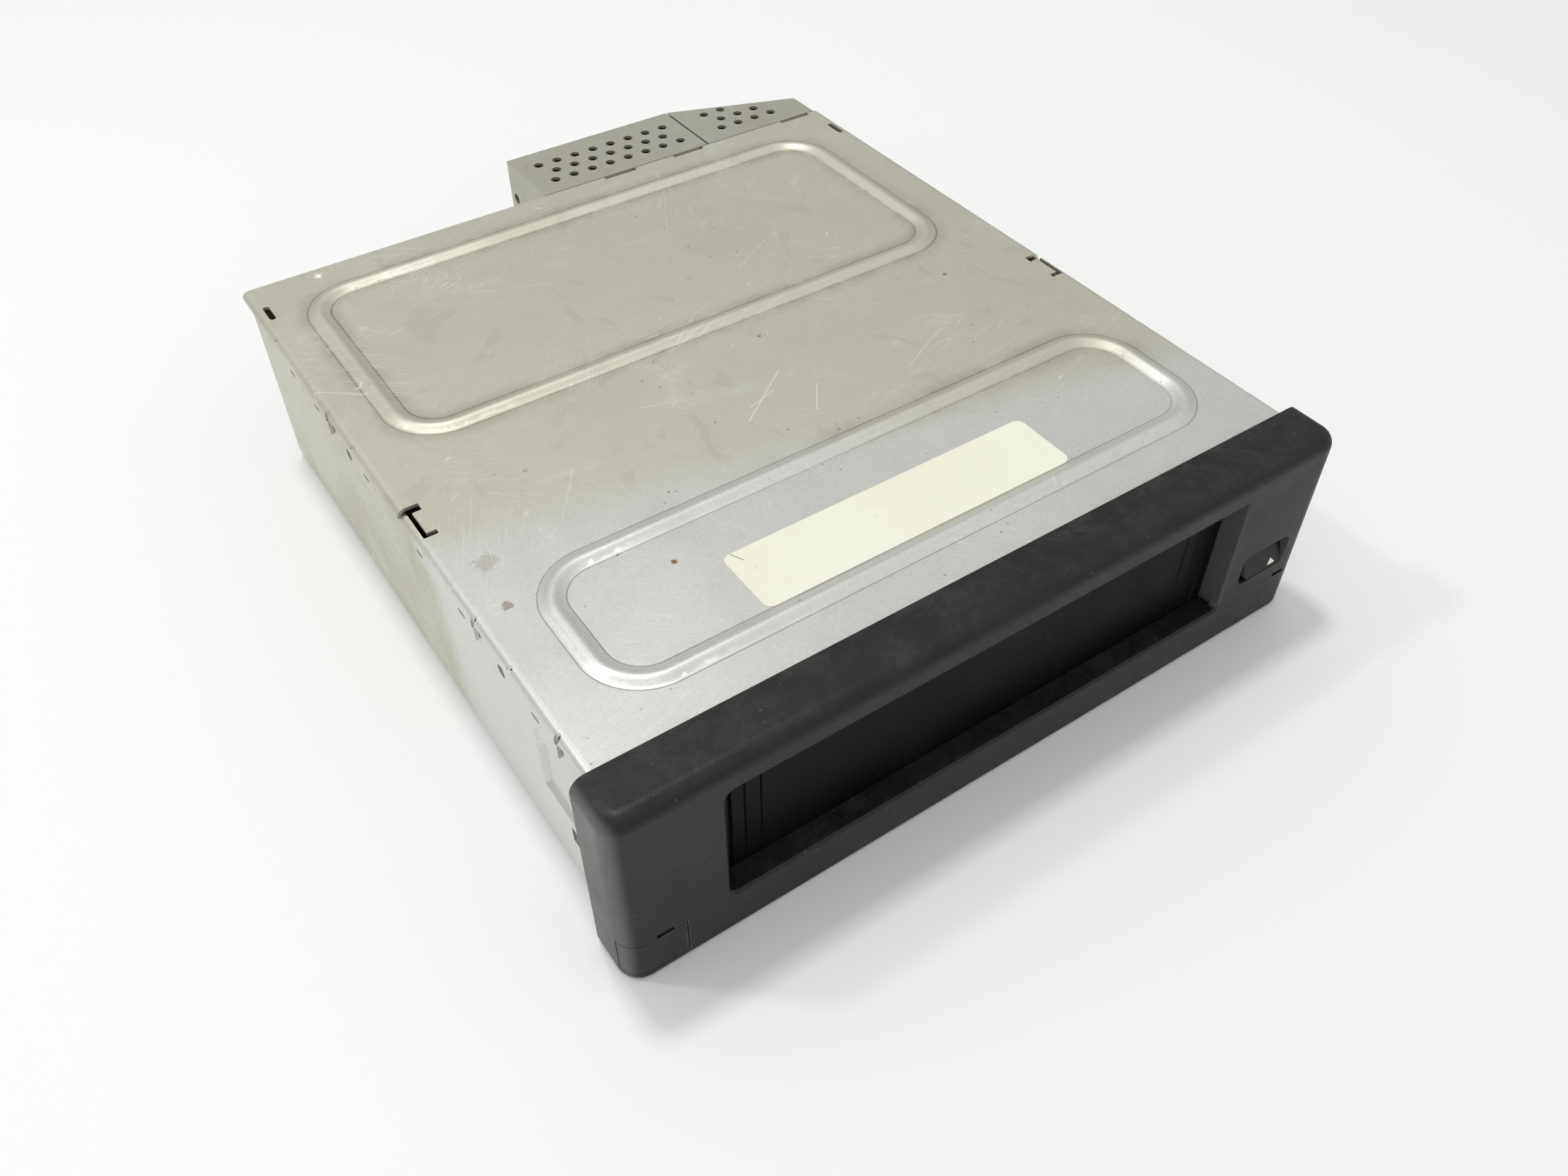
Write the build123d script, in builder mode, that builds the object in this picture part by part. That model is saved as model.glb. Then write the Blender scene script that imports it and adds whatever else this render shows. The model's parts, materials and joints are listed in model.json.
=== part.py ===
"""Magazine-loading car CD changer: a one-slot-high sheet-metal unit with a moulded bezel.

Frame: X to the right along the bezel, Y from the bezel to the back, Z up.  The origin is at
the middle of the footprint, on the surface that the unit stands on.  All sizes are in mm.
"""
import os
from math import atan2, cos, degrees, pi, tan

from build123d import *

os.makedirs("parts", exist_ok=True)

# ------------------------------------------------------------------ case: driving sizes
side_room = 22.0            # half of what the cover is wider than the window
roof_room = 5.5             # window top to the top face of the cover sheet
wall_run = 178.0            # length of the side walls behind the bezel
rear_overhang = 3.3         # top cover beyond the side walls
tail_depth = 27.5           # rear shield beyond the side walls
chassis_sheet = 1.0
cover_sheet = 0.8
sheet_gap = 0.1
bend_radius = 1.6           # middle of the sheet
bend_room = 0.9             # side walls end below the inside of the cover's bend

bezel_overlap = 3.25        # bezel beyond the cover at each side
bezel_top_overlap = 1.5     # bezel above the cover
bezel_depth = 13.0
bezel_wall = 2.2
bezel_corner_radius = 5.0
bezel_top_radius = 3.4
bezel_foot_radius = 1.5

# window for the magazine, and the bay behind it
window_offset = -1.8        # centre of the window from the middle of the case
window_width = 134.0
window_height = 33.0
window_sill = 12.0
window_corner = 2.2
bay_depth = 128.0           # from the front wall to the back stop of the guides
bay_clearance = 0.5

# ------------------------------------------------------------------ places that follow
cover_width = window_width + 2 * side_room              # over the side tabs of the top cover
case_height = window_sill + window_height + roof_room   # top face of the cover sheet
bezel_width = cover_width + 2 * bezel_overlap
bezel_height = case_height + bezel_top_overlap
total_depth = bezel_depth + wall_run + tail_depth
y_face = -total_depth / 2
y_case = y_face + bezel_depth
y_walls_end = y_case + wall_run
y_cover_end = y_walls_end + rear_overhang
y_tail = total_depth / 2
y_rear_wall = y_cover_end - cover_sheet - sheet_gap     # outer face of the rear wall
chassis_half = cover_width / 2 - cover_sheet - sheet_gap
inner_half = chassis_half - chassis_sheet
cover_under = case_height - cover_sheet
side_top = cover_under - bend_room
window_top = window_sill + window_height
window_left = window_offset - window_width / 2
window_right = window_offset + window_width / 2


def back(distance):
    """Y of a place at a distance behind the front wall of the case."""
    return y_case + distance


def drop(distance):
    """Z of a place at a distance below the top face of the cover."""
    return case_height - distance


def block(x0, x1, y0, y1, z0, z1, mode=Mode.ADD):
    """A square-edged block between two opposite corners."""
    middle = ((x0 + x1) / 2, (y0 + y1) / 2, (z0 + z1) / 2)
    with Locations(middle):
        Box(abs(x1 - x0), abs(y1 - y0), abs(z1 - z0), mode=mode)


def rod(axis, radius, start, length, mode=Mode.ADD):
    """A round bar or hole along X, Y or Z from its start point."""
    turns = {"X": (0, 90, 0), "Y": (-90, 0, 0), "Z": (0, 0, 0)}
    with Locations(Location(start, turns[axis])):
        Cylinder(radius, length, align=(Align.CENTER, Align.CENTER, Align.MIN), mode=mode)


def span(axis, radius, start, end, first, second, mode=Mode.ADD):
    """A round bar or hole along one axis between two places on it; the other two follow in order."""
    low = min(start, end)
    corner = {"X": (low, first, second), "Y": (first, low, second), "Z": (first, second, low)}
    rod(axis, radius, corner[axis], abs(end - start), mode)


def finish(builder, name):
    """Label a finished piece and write it as its own file."""
    builder.part.label = name
    export_step(builder.part, f"parts/{name}.step")


# ------------------------------------------------------------------ side wall features
bracket_hole_radius = 1.5
bracket_hole_drop = 7.7
bracket_hole_front = 37.0
bracket_hole_spacing = 78.3
collar_radius = 2.8
collar_length = 1.4

pad_depth = 1.0             # the wall steps in near the bezel
pad_end = 25.0
pad_bottom_drop = 30.0
pad_low_drop = 38.0
pad_top_drop = 12.0

side_screw_back = 8.3
side_screw_drop = 20.6
side_screw_radius = 1.3
side_screw_clearance = 0.2
side_screw_head_radius = 2.8
side_screw_head = 1.7
side_screw_length = 6.0

latch_back = 12.5
latch_drop = 34.8
latch_width = 3.0
latch_height = 3.6
latch_play = 0.5

ear_sheet = 2.0             # tongues of the bezel inside the side walls
ear_gap = 0.3
ear_length = 17.0
ear_low = 12.0
ear_high = 40.0

# ------------------------------------------------------------------ tail (rear box)
tail_side_inset = 1.1       # right wall of the rear box from the side wall's outer face
tail_width = 90.8
tail_seam_inset = 37.5      # seam between its halves from its right wall
tail_chamfer = 13.8         # shorter side of the rear box at its right end
seam_gap = 0.6
tail_lip = 9.0
tail_play = 0.25
shield_bottom = 2.0
passage_low = 10.0
passage_margin = 2.6
tongue_width = 10.0
tongue_insets = (67.3, 44.8, 7.4)       # middles, from the right wall of the rear box
tongue_slot = 1.2
tongue_reach = 4.0
vent_radius = 1.35
vent_pitch = 5.85
vent_row_pitch = 5.0
vent_first_back = 20.1      # rear row of vent holes, from the end of the side walls
left_vent_rows = ((6.5, 8), (9.6, 7), (6.8, 8))       # first hole from the left wall, count
right_vent_rows = ((8.8, 2), (11.8, 3), (8.9, 4))     # first hole from the seam, count
shield_screw_radius = 1.2
shield_screw_head_radius = 2.4
shield_screw_head = 1.4
shield_screw_height = 5.6
shield_screw_length = 4.0
thread_clearance = 0.02
shield_screw_back = 9.0
shield_spot_radius = 1.5
shield_spot_back = 24.0
shield_spot_drop = 10.2

tail_right = chassis_half - tail_side_inset
tail_left = tail_right - tail_width
tail_seam = tail_right - tail_seam_inset
tongue_places = [tail_right - inset for inset in tongue_insets]


def tail_sketch(inset, front, height=0.0):
    """Plan outline of the rear box, drawn in by an inset, starting at a front line."""
    right_end = y_walls_end + tail_chamfer
    slope = atan2(y_tail - right_end, tail_right - tail_seam)
    shift = inset / cos(slope) - inset * tan(slope)
    with BuildSketch(Plane.XY.offset(height)) as outline:
        with BuildLine():
            Polyline(
                (tail_left + inset, front),
                (tail_left + inset, y_tail - inset),
                (tail_seam, y_tail - inset),
                (tail_right - inset, right_end - shift),
                (tail_right - inset, front),
                close=True,
            )
        make_face()
    return outline.sketch


def side_plane(side, depth):
    """Plane at a depth below a side wall's outer face: local x is -side * Y, local y is Z."""
    return Plane(origin=(side * (chassis_half - depth), 0, 0), x_dir=(0, -side, 0), z_dir=(-side, 0, 0))


def pad_sketch(side, depth, front):
    """Outline of the stepped-in pad of a side wall."""
    corners = (
        (front, pad_low_drop), (back(4.0), pad_low_drop), (back(14.0), pad_bottom_drop),
        (back(pad_end), pad_bottom_drop), (back(pad_end), pad_top_drop), (front, pad_top_drop),
    )
    with BuildSketch(side_plane(side, depth)) as pad:
        with BuildLine():
            Polyline(*[(-side * y, drop(d)) for y, d in corners], close=True)
        make_face()
    return pad.sketch


# ------------------------------------------------------------------ rear cable socket: sizes
socket_inset = 39.1         # middle of the socket from the inside of the left side wall
socket_width = 42.0
socket_height = 12.0
socket_base = 8.0
socket_depth = 12.0
socket_wall = 1.4
socket_flange = 2.0
socket_play = 0.3
pin_columns = 10
pin_pitch = 3.6
pin_size = 0.8
pin_row_gap = 4.4
socket_middle = socket_inset - inner_half

# ------------------------------------------------------------------ bottom chassis
cutout_margin = 2.6

with BuildPart() as bottom_chassis:
    half_line = chassis_half - chassis_sheet / 2
    # floor and both side walls, one bent sheet
    with BuildSketch(Plane.XZ.offset(-y_case)):
        with BuildLine():
            FilletPolyline(
                (-half_line, side_top),
                (-half_line, chassis_sheet / 2),
                (half_line, chassis_sheet / 2),
                (half_line, side_top),
                radius=bend_radius,
            )
        trace(line_width=chassis_sheet)
    extrude(amount=-wall_run)
    # rear wall, bent up from the floor, with relief gaps at the corners
    rear_half = inner_half - bend_radius
    with BuildSketch(Plane.YZ.offset(-rear_half)):
        with BuildLine():
            FilletPolyline(
                (y_walls_end - 4.0, chassis_sheet / 2),
                (y_rear_wall - chassis_sheet / 2, chassis_sheet / 2),
                (y_rear_wall - chassis_sheet / 2, cover_under),
                radius=bend_radius,
            )
        trace(line_width=chassis_sheet)
    extrude(amount=2 * rear_half)
    # tail floor with its upturned lip
    lip_inset = cover_sheet + tail_play
    extrude(tail_sketch(lip_inset, y_rear_wall - 2.0), amount=tail_lip)
    extrude(tail_sketch(lip_inset + chassis_sheet, y_rear_wall - 2.5, chassis_sheet),
            amount=tail_lip, mode=Mode.SUBTRACT)
    block(tail_left + lip_inset, tail_right - lip_inset, y_rear_wall - chassis_sheet, y_rear_wall,
          chassis_sheet / 2, passage_low)
    # screw holes in the lip
    for outer in (tail_left, tail_right):
        span("X", shield_screw_radius + thread_clearance, outer - 4.0, outer + 4.0,
             back(wall_run + shield_screw_back), shield_screw_height, Mode.SUBTRACT)
    # way through the rear wall for the disc on the turntable
    block(tail_left + passage_margin, tail_right - passage_margin,
          y_rear_wall - 3.0, y_rear_wall + 0.1, passage_low, cover_under + 0.1, Mode.SUBTRACT)
    # opening for the cable socket
    block(socket_middle - socket_width / 2 - socket_play, socket_middle + socket_width / 2 + socket_play,
          y_rear_wall - 2.0, y_rear_wall + 0.1,
          socket_base - socket_play, socket_base + socket_height + socket_play, Mode.SUBTRACT)
    # front wall with the cut-out for the magazine and slots for the bezel's ears
    ear_room = pad_depth + ear_gap + ear_sheet + 2 * ear_gap
    with BuildSketch(Plane.XZ.offset(-y_case)):
        with Locations((0, (chassis_sheet + side_top) / 2)):
            Rectangle(2 * inner_half, side_top - chassis_sheet)
        with Locations((0, (side_top + cover_under) / 2)):
            Rectangle(2 * (inner_half - bend_radius), cover_under - side_top)
        with Locations((window_offset, window_sill - cutout_margin)):
            Rectangle(window_width + 2 * cutout_margin, case_height,
                      align=(Align.CENTER, Align.MIN), mode=Mode.SUBTRACT)
        for side in (-1, 1):
            with Locations((side * (inner_half - ear_room / 2), (ear_low + ear_high) / 2)):
                Rectangle(ear_room, ear_high - ear_low + 4 * ear_gap, mode=Mode.SUBTRACT)
    extrude(amount=-chassis_sheet)
    for side in (-1, 1):
        # pad: a plate inside and a bevelled pocket outside
        extrude(pad_sketch(side, chassis_sheet, back(chassis_sheet)), amount=pad_depth)
        extrude(pad_sketch(side, 0, back(-2.0)), amount=pad_depth, taper=45, mode=Mode.SUBTRACT)
        # bracket holes with their tapped collars
        hole_z = drop(bracket_hole_drop)
        for place in (bracket_hole_front, bracket_hole_front + bracket_hole_spacing):
            span("X", collar_radius, side * (inner_half - collar_length), side * inner_half,
                 back(place), hole_z)
            span("X", bracket_hole_radius, side * (inner_half - 2 * collar_length),
                 side * (chassis_half + 1.0), back(place), hole_z, Mode.SUBTRACT)
        # screw hole in the pad, latch hole below it
        span("X", side_screw_radius + side_screw_clearance, side * (inner_half - 2 * pad_depth),
             side * (chassis_half + 1.0), back(side_screw_back), drop(side_screw_drop), Mode.SUBTRACT)
        block(side * (inner_half - 0.5), side * (chassis_half + 0.5),
              back(latch_back - latch_width / 2 - latch_play),
              back(latch_back + latch_width / 2 + latch_play),
              drop(latch_drop + latch_height / 2 + latch_play),
              drop(latch_drop - latch_height / 2 - latch_play), Mode.SUBTRACT)
finish(bottom_chassis, "bottom_chassis")

# ------------------------------------------------------------------ top cover
tab_depth = 6.5
tab_slope = 5.0
tabs = ((11.2, 30.4), (45.8, 108.0), (123.0, 157.0))   # each from its front to its rear end
tab_notch_radius = 0.8
tab_slots = (19.6, 51.3, 71.6, 100.2, 130.2, 146.3)
tab_slot_length = 3.2
tab_slot_height = 1.0
tab_slot_drop = 3.5
edge_lip = 1.5              # bend of the cover between its tabs
lance_front = 71.4
lance_rear = 82.3
lance_inset = 1.6
lance_leg = 1.1
lance_reach = 4.9
lance_arm = 1.3
lance_mouth = 2.3
corner_slot_back = 168.5
corner_slot_inset = 3.0
corner_slot_width = 1.6
corner_slot_length = 6.5
bead_width = 5.6
bead_rise = 1.1
bead_corner = 11.0
rear_flange = 5.5
rear_flange_margin = 6.0
bead_frames = (
    # centre X, width, front and rear edges behind the front wall (outer edges of the bead)
    (0.6, cover_width - 21.6, 9.7, 50.8),
    (-1.5, cover_width - 22.5, 99.9, 171.7),
)
boss_radius = 1.5
boss_inset = 19.2           # from the left edge of the cover
boss_back = 177.6


def bead_solid(centre_x, width, front, rear, base, rise, half_width):
    """A raised bead along a rounded rectangle, with a smooth hump for its section."""
    middle_y = back((front + rear) / 2)
    length = rear - front - bead_width
    with BuildPart() as bead:
        with BuildLine(Plane.XY.offset(base)) as run:
            with BuildSketch(mode=Mode.PRIVATE) as frame_shape:
                with Locations((centre_x, middle_y)):
                    RectangleRounded(width - bead_width, length, bead_corner)
            add(frame_shape.sketch.faces()[0].outer_wire())
        start = (centre_x, middle_y - length / 2, base)
        with BuildSketch(Plane(origin=start, x_dir=(0, 1, 0), z_dir=(1, 0, 0))):
            with BuildLine():
                Spline((-half_width, 0), (0, rise), (half_width, 0),
                       tangents=((1, 0), (1, 0)), tangent_scalars=(0.7, 0.7))
                Line((half_width, 0), (-half_width, 0))
            make_face()
        sweep(path=run.wires()[0])
    return bead.part


with BuildPart() as top_cover:
    half_line = cover_width / 2 - cover_sheet / 2
    top_line = case_height - cover_sheet / 2
    # flat top and the side flanges that become the tabs
    with BuildSketch(Plane.XZ.offset(-back(0.3))):
        with BuildLine():
            FilletPolyline(
                (-half_line, case_height - tab_depth),
                (-half_line, top_line),
                (half_line, top_line),
                (half_line, case_height - tab_depth),
                radius=bend_radius,
            )
        trace(line_width=cover_sheet)
    extrude(amount=-(y_cover_end - back(0.3)))
    # cut the flange away between the tabs, with a slanted rear end and a notch at both ends
    low = case_height - tab_depth - 1.0
    for side in (-1, 1):
        wall_in = side * (cover_width / 2 - cover_sheet - 0.4)
        wall_out = side * (cover_width / 2 + 1.0)
        gaps = [-5.0] + [end for tab in tabs for end in tab] + [rear_overhang + wall_run + 5.0]
        for start, end in zip(gaps[0::2], gaps[1::2]):
            block(wall_in, wall_out, back(start), back(end), low, case_height - edge_lip, Mode.SUBTRACT)
        for front, rear in tabs:
            with BuildSketch(side_plane(side, -2.0)):
                with BuildLine():
                    Polyline(
                        (-side * back(rear + 1.0), drop(1.4)),
                        (-side * back(rear), drop(1.4)),
                        (-side * back(rear - tab_slope), drop(tab_depth + 0.01)),
                        (-side * back(rear + 1.0), drop(tab_depth + 0.01)),
                        close=True,
                    )
                make_face()
            extrude(amount=4.0, mode=Mode.SUBTRACT)
            for end in (front, rear):
                rod("Z", tab_notch_radius, (side * (cover_width / 2 - 0.4), back(end), case_height - 3.0),
                    4.0, Mode.SUBTRACT)
        for place in tab_slots:
            with BuildSketch(side_plane(side, -2.0)):
                with Locations((-side * back(place), drop(tab_slot_drop))):
                    SlotOverall(tab_slot_length, tab_slot_height)
            extrude(amount=4.0, mode=Mode.SUBTRACT)
        # C-shaped lance near the edge
        edge = cover_width / 2
        under, over = case_height - cover_sheet - 0.1, case_height + 0.1
        block(side * (edge - lance_reach), side * (edge + 1), back(lance_rear - lance_mouth),
              back(lance_rear), under - 1.0, over, Mode.SUBTRACT)
        block(side * (edge - lance_inset - lance_leg), side * (edge - lance_inset),
              back(lance_front), back(lance_rear - lance_mouth), under, over, Mode.SUBTRACT)
        block(side * (edge - lance_reach), side * (edge - lance_inset),
              back(lance_front), back(lance_front + lance_arm), under, over, Mode.SUBTRACT)
        # slot at the rear corner
        with BuildSketch(Plane.XY.offset(under)):
            with Locations((side * (edge - corner_slot_inset), back(corner_slot_back))):
                SlotOverall(corner_slot_length, corner_slot_width, rotation=90)
        extrude(amount=cover_sheet + 0.2, mode=Mode.SUBTRACT)
    # stiffening beads: raised above, hollow below
    for centre_x, width, front, rear in bead_frames:
        add(bead_solid(centre_x, width, front, rear, case_height, bead_rise, bead_width / 2))
    for centre_x, width, front, rear in bead_frames:
        add(bead_solid(centre_x, width, front, rear, case_height - cover_sheet, bead_rise,
                       bead_width / 2 - cover_sheet), mode=Mode.SUBTRACT)
    # rear flange behind the rear wall, left of the rear box
    block(-cover_width / 2 + rear_flange_margin, tail_left - seam_gap - 1.0,
          y_cover_end - cover_sheet, y_cover_end, case_height - rear_flange, case_height - cover_sheet / 2)
    # notches where the tongues of the rear shield slip under the cover
    for place in tongue_places:
        block(place - tongue_width / 2, place + tongue_width / 2, y_cover_end - tongue_slot, y_cover_end + 0.1,
              case_height - cover_sheet - 0.1, case_height + 0.1, Mode.SUBTRACT)
    # small locating boss near the rear edge
    with Locations((boss_inset - cover_width / 2, back(boss_back), case_height - 0.2)):
        Sphere(boss_radius, arc_size1=0)
finish(top_cover, "top_cover")

# ------------------------------------------------------------------ blank label
label_width = 78.8
label_length = 17.1
label_front = 15.4
label_middle = -1.5
label_corner = 2.0
label_thickness = 0.15

with BuildPart() as blank_label:
    with BuildSketch(Plane.XY.offset(case_height)):
        with Locations((label_middle, back(label_front + label_length / 2))):
            RectangleRounded(label_width, label_length, label_corner)
    extrude(amount=label_thickness)
finish(blank_label, "blank_label")

# ------------------------------------------------------------------ bezel
recess_wall = 1.5
recess_lip_end = 8.5        # depth coordinates: distance in front of the case
recess_sill_end = 7.55
recess_jamb_end = 1.2
window_bevel = 0.6
least_radius = 0.3

flap_face = 7.4
flap_sheet = 2.2
flap_side_gap = 0.5
flap_overlap = 0.6          # the flap reaches below the sill's surface, behind it
flap_axis_front = 5.9
flap_axis_rise = 2.4        # above the top of the window
flap_barrel_radius = 1.5
flap_pin_radius = 1.0
flap_pin_reach = 5.6        # left end, through the spring
flap_pin_short = 2.6
pin_clearance = 0.1

button_inset = 14.75        # middle of the button's recess from the right end of the bezel
button_recess_width = 15.4
button_recess_low = 16.9
button_recess_height = 8.7
button_recess_corner = 2.4
button_gap = 0.3            # to the foot and the right end of the recess
button_width = 12.2
button_height = 7.9
button_slope = 3.0          # the face leans back towards its top edge
button_corner = 3.0         # rounding of its upper inner corner
button_guide_end = 8.0      # distance in front of the case
button_flange = 1.2
button_flange_sheet = 1.0
button_flange_gap = 0.1
button_edge = 0.8
button_travel = 1.5
boss_wall = 1.2

cap_low = 2.4
cap_height = 9.9
cap_reach = 13.35           # along the front of the bezel
cap_side_reach = 4.0        # along the side of the bezel
cap_gap = 0.15
cap_peg_radius = 1.2
cap_notch_width = 3.7       # prying slot in the bezel above each cap
cap_notch_height = 1.1
cap_notch_depth = 1.5
cap_notch_insets = {-1: 8.7, 1: 6.8}     # middle of each slot from the end of the bezel
cap_floor = 1.5

button_middle = bezel_width / 2 - button_inset
cap_inner = bezel_width / 2 - cap_reach

ear_outer = inner_half - pad_depth - ear_gap
ear_bridge_front = 5.0
ear_bridge = 2.0
flap_axis_z = window_top + flap_axis_rise


def ahead(distance):
    """Y of a place at a distance in front of the case's front wall."""
    return y_case - distance


def bezel_solid():
    """Outer form of the bezel: a bar with rounded corners and edges."""
    with BuildPart() as form:
        block(-bezel_width / 2, bezel_width / 2, y_face, y_case, 0, bezel_height)
        front_corners = form.edges().filter_by(Axis.Z).group_by(Axis.Y)[0]
        fillet(front_corners, bezel_corner_radius)
        top_edges = form.faces().sort_by(Axis.Z)[-1].edges().sort_by(Axis.Y)[:-1]
        fillet(top_edges, bezel_top_radius)
        foot_edges = form.faces().sort_by(Axis.Z)[0].edges().sort_by(Axis.Y)[:-1]
        fillet(foot_edges, bezel_foot_radius)
    return form.part


def bezel_hollow(wall):
    """Inner form of the bezel, a wall's thickness inside the outer one."""
    with BuildPart() as hollow:
        block(-bezel_width / 2 + wall, bezel_width / 2 - wall, y_face + wall, y_case + 0.1, wall,
              bezel_height - wall)
        fillet(hollow.edges().filter_by(Axis.Z).group_by(Axis.Y)[0], bezel_corner_radius - wall)
        roof_edges = hollow.faces().sort_by(Axis.Z)[-1].edges().sort_by(Axis.Y)[:-1]
        fillet(roof_edges, max(bezel_top_radius - wall, least_radius))
    return hollow.part


def cap_ends(side):
    """The X of a cap's inner end and of the bezel's outer side."""
    return side * cap_inner, side * bezel_width / 2


def cap_room(side, gap):
    """Block that holds a corner cap, enlarged by a gap on every side."""
    inner, outer = cap_ends(side)
    with BuildPart() as room:
        block(inner - side * gap, outer + side * 1.0, y_face - 1.0,
              y_face + cap_side_reach + gap, cap_low - gap, cap_low + cap_height + gap)
    return room.part


def pocket_lining(side):
    """Second skin behind and beside a cap, which closes its pocket."""
    with BuildPart() as lining:
        add(bezel_hollow(bezel_wall))
        add(bezel_hollow(bezel_wall + cap_floor), mode=Mode.SUBTRACT)
        add(cap_room(side, cap_gap + cap_floor), mode=Mode.INTERSECT)
    return lining.part


peg_x = (cap_inner + bezel_width / 2) / 2 - bezel_wall / 2
peg_z = cap_low + cap_height / 2

with BuildPart() as front_bezel:
    add(bezel_solid())
    add(bezel_hollow(bezel_wall), mode=Mode.SUBTRACT)
    # recess walls round the window: lip above, sill below, a jamb at each side
    lip_top = window_top + recess_wall
    block(window_left - recess_wall, window_right + recess_wall, y_face + bezel_wall / 2,
          ahead(recess_lip_end), window_top, lip_top)
    block(window_left - recess_wall, window_right + recess_wall, y_face + bezel_wall / 2,
          ahead(recess_sill_end), window_sill - recess_wall, window_sill)
    for x0, x1 in ((window_left - recess_wall, window_left), (window_right, window_right + recess_wall)):
        block(x0, x1, y_face + bezel_wall / 2, ahead(recess_jamb_end), window_sill - recess_wall,
              bezel_height - bezel_wall)
        span("X", flap_pin_radius + pin_clearance, x0 - 0.1, x1 + 0.1, ahead(flap_axis_front),
             flap_axis_z, Mode.SUBTRACT)
    # the window itself, with a bevelled edge
    with BuildSketch(Plane.XZ.offset(-y_face + 1.0)):
        with Locations((window_offset, window_sill + window_height / 2)):
            RectangleRounded(window_width, window_height, window_corner)
    extrude(amount=-(1.0 + bezel_wall + 2.0), mode=Mode.SUBTRACT)
    with BuildSketch(Plane.XZ.offset(-y_face)):
        with Locations((window_offset, window_sill + window_height / 2)):
            RectangleRounded(window_width + 2 * window_bevel, window_height + 2 * window_bevel,
                             window_corner + window_bevel)
    extrude(amount=-window_bevel, taper=45, mode=Mode.SUBTRACT)
    # guide and opening for the eject button
    recess_middle_z = button_recess_low + button_recess_height / 2
    with Locations((button_middle, (y_face + bezel_wall / 2 + ahead(button_guide_end)) / 2,
                    recess_middle_z)):
        Box(button_recess_width + 2 * boss_wall, ahead(button_guide_end) - y_face - bezel_wall / 2,
            button_recess_height + 2 * boss_wall)
    with BuildSketch(Plane.XZ.offset(-y_face)):
        with Locations((button_middle, recess_middle_z)):
            RectangleRounded(button_recess_width, button_recess_height, button_recess_corner)
    extrude(amount=-(ahead(button_guide_end) - y_face + 0.1), mode=Mode.SUBTRACT)
    for side in (-1, 1):
        # pocket for the corner cap, closed behind and beside it
        add(cap_room(side, cap_gap), mode=Mode.SUBTRACT)
        add(pocket_lining(side))
        span("Y", cap_peg_radius + pin_clearance, y_face + bezel_wall - 0.5, ahead(0.5),
             side * peg_x, peg_z, Mode.SUBTRACT)
        # prying slot above the cap
        notch = side * (bezel_width / 2 - cap_notch_insets[side])
        block(notch - cap_notch_width / 2, notch + cap_notch_width / 2, y_face - 0.1,
              y_face + cap_notch_depth, cap_low + cap_height, cap_low + cap_height + cap_notch_height,
              Mode.SUBTRACT)
        # ear that reaches into the case, with its snap hook and screw boss
        wall_x = side * (bezel_width / 2 - bezel_wall / 2)
        ear_inner = side * (ear_outer - ear_sheet)
        block(ear_inner, wall_x, ahead(ear_bridge_front), ahead(ear_bridge_front - ear_bridge),
              ear_low, ear_high)
        block(ear_inner, side * ear_outer, ahead(ear_bridge_front), back(ear_length), ear_low, ear_high)
        hook = drop(latch_drop)
        block(side * (ear_outer - ear_sheet / 2), side * (chassis_half - 0.2),
              back(latch_back - latch_width / 2), back(latch_back + latch_width / 2),
              hook - latch_height / 2, hook + latch_height / 2)
        span("X", side_screw_radius + thread_clearance, side * (ear_outer - ear_sheet - 1.0),
             side * (ear_outer + 1.0), back(side_screw_back), drop(side_screw_drop), Mode.SUBTRACT)
finish(front_bezel, "front_bezel")

# ------------------------------------------------------------------ corner caps
for side, place in ((-1, "left"), (1, "right")):
    with BuildPart() as corner_cap:
        add(bezel_solid())
        add(bezel_hollow(bezel_wall), mode=Mode.SUBTRACT)
        add(cap_room(side, 0), mode=Mode.INTERSECT)
        span("Y", cap_peg_radius, y_face + bezel_wall - 0.2, y_face + bezel_wall + cap_floor,
             side * peg_x, peg_z)
    finish(corner_cap, f"corner_cap_{place}")

# ------------------------------------------------------------------ dust flap and its spring
groove_offsets = ((63.3, 1.0, 0.8), (59.9, 0.5, 0.5), (56.2, 0.5, 0.5))   # place, width, depth
flap_rib_sheet = 1.0
flap_rib_height = 1.6
spring_wire = 0.25          # radius
spring_coil_radius = 1.75
spring_turns = 3
spring_turn_gap = 0.3
spring_leg = 3.0

flap_left = window_left + flap_side_gap
flap_right = window_right - flap_side_gap

with BuildPart() as dust_flap:
    panel_low = window_sill - flap_overlap
    block(flap_left, flap_right, ahead(flap_face), ahead(flap_face - flap_sheet), panel_low, flap_axis_z)
    fillet(dust_flap.edges().filter_by(Axis.X).group_by(Axis.Z)[0], 0.5)
    span("X", flap_barrel_radius, flap_left, flap_right, ahead(flap_axis_front), flap_axis_z)
    # decorative grooves down both ends
    for offset, width, depth in groove_offsets:
        for direction in (-1, 1):
            x = window_offset + direction * offset
            block(x - width / 2, x + width / 2, ahead(flap_face) - 0.1, ahead(flap_face) + depth,
                  panel_low - 0.1, flap_axis_z - flap_barrel_radius, Mode.SUBTRACT)
    # stiffening ribs on the inner face
    for height in (panel_low + 6.0, panel_low + 22.0):
        block(flap_left + 3.0, flap_right - 3.0, ahead(flap_face - flap_sheet),
              ahead(flap_face - flap_sheet - flap_rib_height), height, height + flap_rib_sheet)
    span("X", flap_pin_radius, flap_left - flap_pin_reach, flap_left, ahead(flap_axis_front), flap_axis_z)
    span("X", flap_pin_radius, flap_right, flap_right + flap_pin_short, ahead(flap_axis_front), flap_axis_z)
finish(dust_flap, "dust_flap")

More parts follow.
